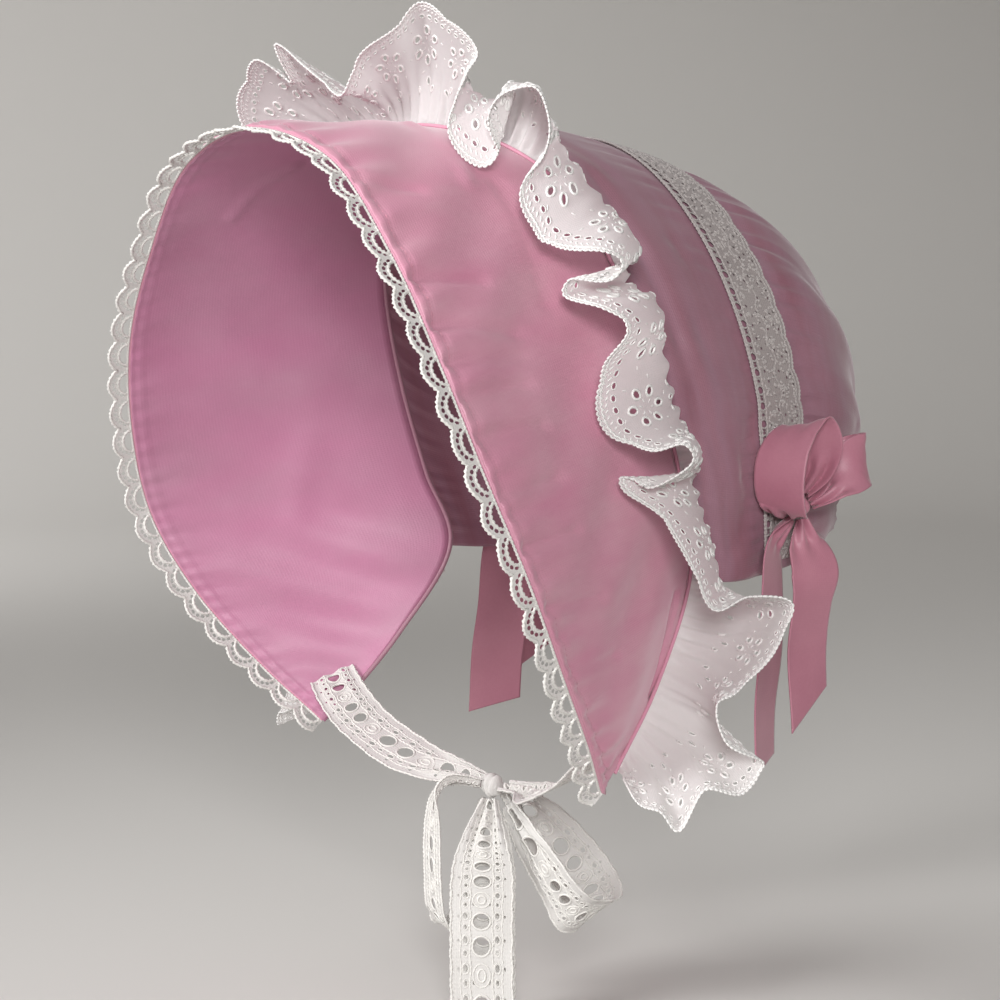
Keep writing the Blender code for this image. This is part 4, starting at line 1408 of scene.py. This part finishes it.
# %% Bows
def make_bow(name, side):
    """One bow; side is 1 on the wearer's left and -1 on the right."""
    station, section = np.float64(BOW_AT[0]), np.float64(BOW_AT[1])
    centre = smooth_crown(station, section) + crown_normal(station, section) * BOW_LIFT

    def place(forward, up, out):
        return (centre + np.stack([out, -forward, up], -1)) * [side, 1.0, 1.0]

    knot_wrap(f"{name}_knot", centre * [side, 1, 1], np.array(BOW_KNOT) * 0.92, satin, [2, 0, 1])
    parts = (("loop_up", BOW_LOOP_UP, 0.0, 1), ("loop_back", BOW_LOOP_BACK, 0.0, 2),
             ("tail_long", BOW_TAIL_LONG, 10.0, 3), ("tail_short", BOW_TAIL_SHORT, 4.0, 4))
    for part, path, slant, seed in parts:
        satin_ribbon(f"{name}_{part}", ribbon_bend(path, place, seed, slant))


make_bow("bow_left", 1)
make_bow("bow_right", -1)

# %% [markdown]
# ## The lace chin tie
# The tie is an ivory insertion lace 28 mm wide, with a ladder of large holes down its middle and a row
# of small ones on each side. Two large holes are followed by a closed motif, and so on. Each strap,
# loop and tail is its own length of the same lace, and the cells are laid end to end until it is
# full.


# %% Tie lace cells
CELL = 8.3                # length of a cell
# Small holes of a cell: share of its length, distance from the middle, and size
TIE_HOLES = ((0.27, 7.3, 1.8), (0.75, 7.3, 1.2), (0.3, 10.6, 1.0), (0.72, 3.6, 1.1))


def tie_cell(length, width, is_open):
    """One cell of the lace as places and faces: an outline with picots, and its holes."""
    k = width / TIE_WIDTH
    u = np.linspace(0, length, 13)
    picot = 0.7 * k * (1 - np.abs(np.sin(FULL_TURN * u / length)))
    outline = strip_outline(level(u, picot), level(u, width - picot), 17)
    holes = [oval(length / 2, width / 2, 5.3 * length / CELL, 7.0 * k, 0, 14)] if is_open else []
    for x, v, size in TIE_HOLES[:3] if is_open else TIE_HOLES:
        size = size * min(1.0, k)
        holes += [oval(length * x, width / 2 + sign * v * k * 0.95, size * 1.2, size) for sign in (-1, 1)]
    return cut_repeat(outline, holes, 1.6)


def tie_lace(name, path, place, seed, motif_first=0, rows=150):
    bend = ribbon_bend(path, place, seed, rows=rows)
    count = max(3, round(bend.length / CELL))
    pitch = bend.length / count
    cells = {is_open: tie_cell(pitch, bend.width, is_open) for is_open in (True, False)}
    order = [(n + motif_first) % 3 != 2 for n in range(count)]
    flat, faces = lay([cells[is_open] for is_open in order], pitch)
    ground = make_piece(f"{name}_lace_ground", bend.at(flat), faces, ivory, flat)
    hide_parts(name)
    k, middle = bend.width / TIE_WIDTH, bend.width / 2
    u = np.arange(0, bend.length, 0.8)
    sway = 0.25 * k * np.sin(u * FULL_TURN / pitch)
    cords = [(level(u, middle + sign * (middle - v * k) + sway), knobs(len(u), radius), 0.0, False)
             for v, radius in ((0.75, 0.55), (4.9, 0.32), (9.1, 0.42)) for sign in (-1, 1)]
    for n, is_open in enumerate(order):
        start = np.array([n * pitch, 0.0])
        rounds = [(6.2, 8.0 * k, 0.55)] if is_open else [(3.4, 3.4 * k, 0.55), (6.4, 7.6 * k, 0.4)]
        for wide, high, radius in rounds:
            cords.append((oval(pitch / 2, middle, wide, high, 0, 14) + start, radius, 0.0, True))
        for sign in (-1, 1):
            high = middle + sign * 7.3 * k * 0.95
            cords.append((oval(pitch * 0.27, high, 3.2, 2.9) + start, 0.34, 0.0, True))
            cords.append((oval(pitch * 0.75, high, 2.4, 2.2) + start, 0.28, 0.0, True))
    points, faces_of_cords = tubes(bend, cords)
    stitches = make_piece(f"{name}_lace_cords", points, faces_of_cords, ivory_thread)
    drawn_area(flat, faces)
    print(" ", name, "length", round(bend.length), "mm,", count, "cells")

# %% [markdown]
# ## Straps, loops and tails of the tie
# The tie's paths are measured on the bonnet itself, so a place is just its x, y and z. The right
# strap is the left one mirrored.


# %% Chin tie
def tie_place(x, y, z):
    return np.stack([x, y, z], -1)


def tie_place_right(x, y, z):
    return tie_place(x, y, z) * [-1.0, 1.0, 1.0]


knot_wrap("tie_knot", np.array(TIE_KNOT), np.array(TIE_KNOT_SIZE) * [0.75, 0.95, 0.95], ivory,
          [0, 1, 2], 0.8, 0.45)
tie_lace("tie_strap_left", TIE_STRAP, tie_place, 5, rows=110)
tie_lace("tie_strap_right", TIE_STRAP, tie_place_right, 5, rows=110)
tie_lace("tie_loop_left", TIE_LOOP_LEFT, tie_place, 6)
tie_lace("tie_loop_right", TIE_LOOP_RIGHT, tie_place, 7)
tie_lace("tie_tail_front", TIE_TAIL_FRONT, tie_place, 8, 1)
tie_lace("tie_tail_back", TIE_TAIL_BACK, tie_place, 9, 2)

# %% [markdown]
# ## Studio
# Soft things look best in soft light. A soft spot high on the left of the picture gives the folds
# their shape, and one above the camera fills their shadows. Both are spots, because a spot leaves
# the floor below it dark, and a view from behind sees that floor. A third one lightens the left of
# the ground, and a weak round lamp hangs above. A pale round cove stands on every side, so any view
# has the same plain ground. The camera has the photograph's angle and distance.

# %% Stage, lights and camera
def studio_cove(radius=3.2, corner=0.9, height=2.6):
    low = solid_box[0][2] - 0.002
    a = np.linspace(0, math.pi / 2, 13)
    reach = np.concatenate([[0.01, 1.0, radius - corner], radius - corner + corner * np.sin(a[1:]), [radius]])
    up = np.concatenate([[0, 0, 0], corner * (1 - np.cos(a[1:])), [height]]) + low
    turn = np.linspace(0, FULL_TURN, 96, endpoint=False)
    reach, up = reach[:, None], up[:, None]
    points = np.stack([reach * np.cos(turn), reach * np.sin(turn), up + 0 * turn], -1)
    faces = [tuple(f)[::-1] for f in grid_faces(len(reach), 96, closed=True)] + [tuple(range(96))]
    mesh = bpy.data.meshes.new("studio_cove")
    mesh.from_pydata(points.reshape(-1, 3).tolist(), [], [tuple(map(int, f)) for f in faces])
    mesh.shade_smooth()
    ground = Finish("studio_ground", Base_Color=colour(0.70, 0.68, 0.655), Roughness=0.9)
    mesh.materials.append(ground.material)
    cove = bpy.data.objects.new("studio_cove", mesh)
    bpy.context.scene.collection.objects.link(cove)


def lamp(name, kind, place, aim, power, **settings):
    """A lamp at one place, aimed at another."""
    light = bpy.data.lights.new(name, kind)
    light.energy = power
    for setting, value in settings.items():
        setattr(light, setting, value)
    holder = bpy.data.objects.new(name, light)
    holder.location = place
    holder.rotation_euler = (Vector(aim) - Vector(place)).to_track_quat("-Z", "Y").to_euler()
    holder.visible_camera = False
    bpy.context.scene.collection.objects.link(holder)


def spot(name, place, aim, power, radius, degrees):
    """A soft spot whose cone leaves the floor below it dark."""
    lamp(name, "SPOT", place, aim, power, shadow_soft_size=radius,
         spot_size=math.radians(degrees), spot_blend=1.0)


studio_cove()
CAMERA_BACK = np.array([0.8059, -0.5855, 0.0872])
CAMERA_RIGHT = np.array([0.588, 0.809, 0.0])
target = np.array([0.0, -0.06, -0.15])
key = target + CAMERA_BACK * 1.0 - CAMERA_RIGHT * 1.5 + np.array([0, 0, 0.55])
fill = target + CAMERA_BACK * 2.3 + CAMERA_RIGHT * 0.05 + np.array([0, 0, 0.45])
top = target - CAMERA_RIGHT * 1.2 + np.array([0, 0, 1.4])
high = target - CAMERA_RIGHT * 1.5 - CAMERA_BACK * 0.9 + np.array([0, 0, 1.1])
cove_left = target - CAMERA_BACK * 3.0 - CAMERA_RIGHT * 1.3
spot("key_lamp", key, target, 108, 0.35, 56)
spot("fill_lamp", fill, target, 134, 0.30, 44)
lamp("top_lamp", "AREA", top, target, 7, shape="DISK", size=1.4)
spot("wall_lamp", high, cove_left, 88, 0.4, 120)
world = bpy.data.worlds.new("studio_air")
world.use_nodes = True
air = world.node_tree.nodes["Background"].inputs
air["Color"].default_value = (1.0, 0.99, 0.98, 1.0)
air["Strength"].default_value = 0.31
bpy.context.scene.world = world

camera = bpy.data.cameras.new("photo_camera")
camera.sensor_width = 36.0
camera.lens = 94.09
camera.clip_end = 20.0
view = bpy.data.objects.new("photo_camera", camera)
view.location = (0.92166, -0.74450, -0.04827)
forward, right = Vector(-CAMERA_BACK), Vector(CAMERA_RIGHT)
upward = right.cross(forward)
view.rotation_euler = Matrix((right, upward, -forward)).transposed().to_euler()
bpy.context.scene.collection.objects.link(view)
bpy.context.scene.camera = view
bpy.context.scene.view_settings.view_transform = "Standard"
print("camera", [round(v, 3) for v in view.location], "lens", camera.lens)
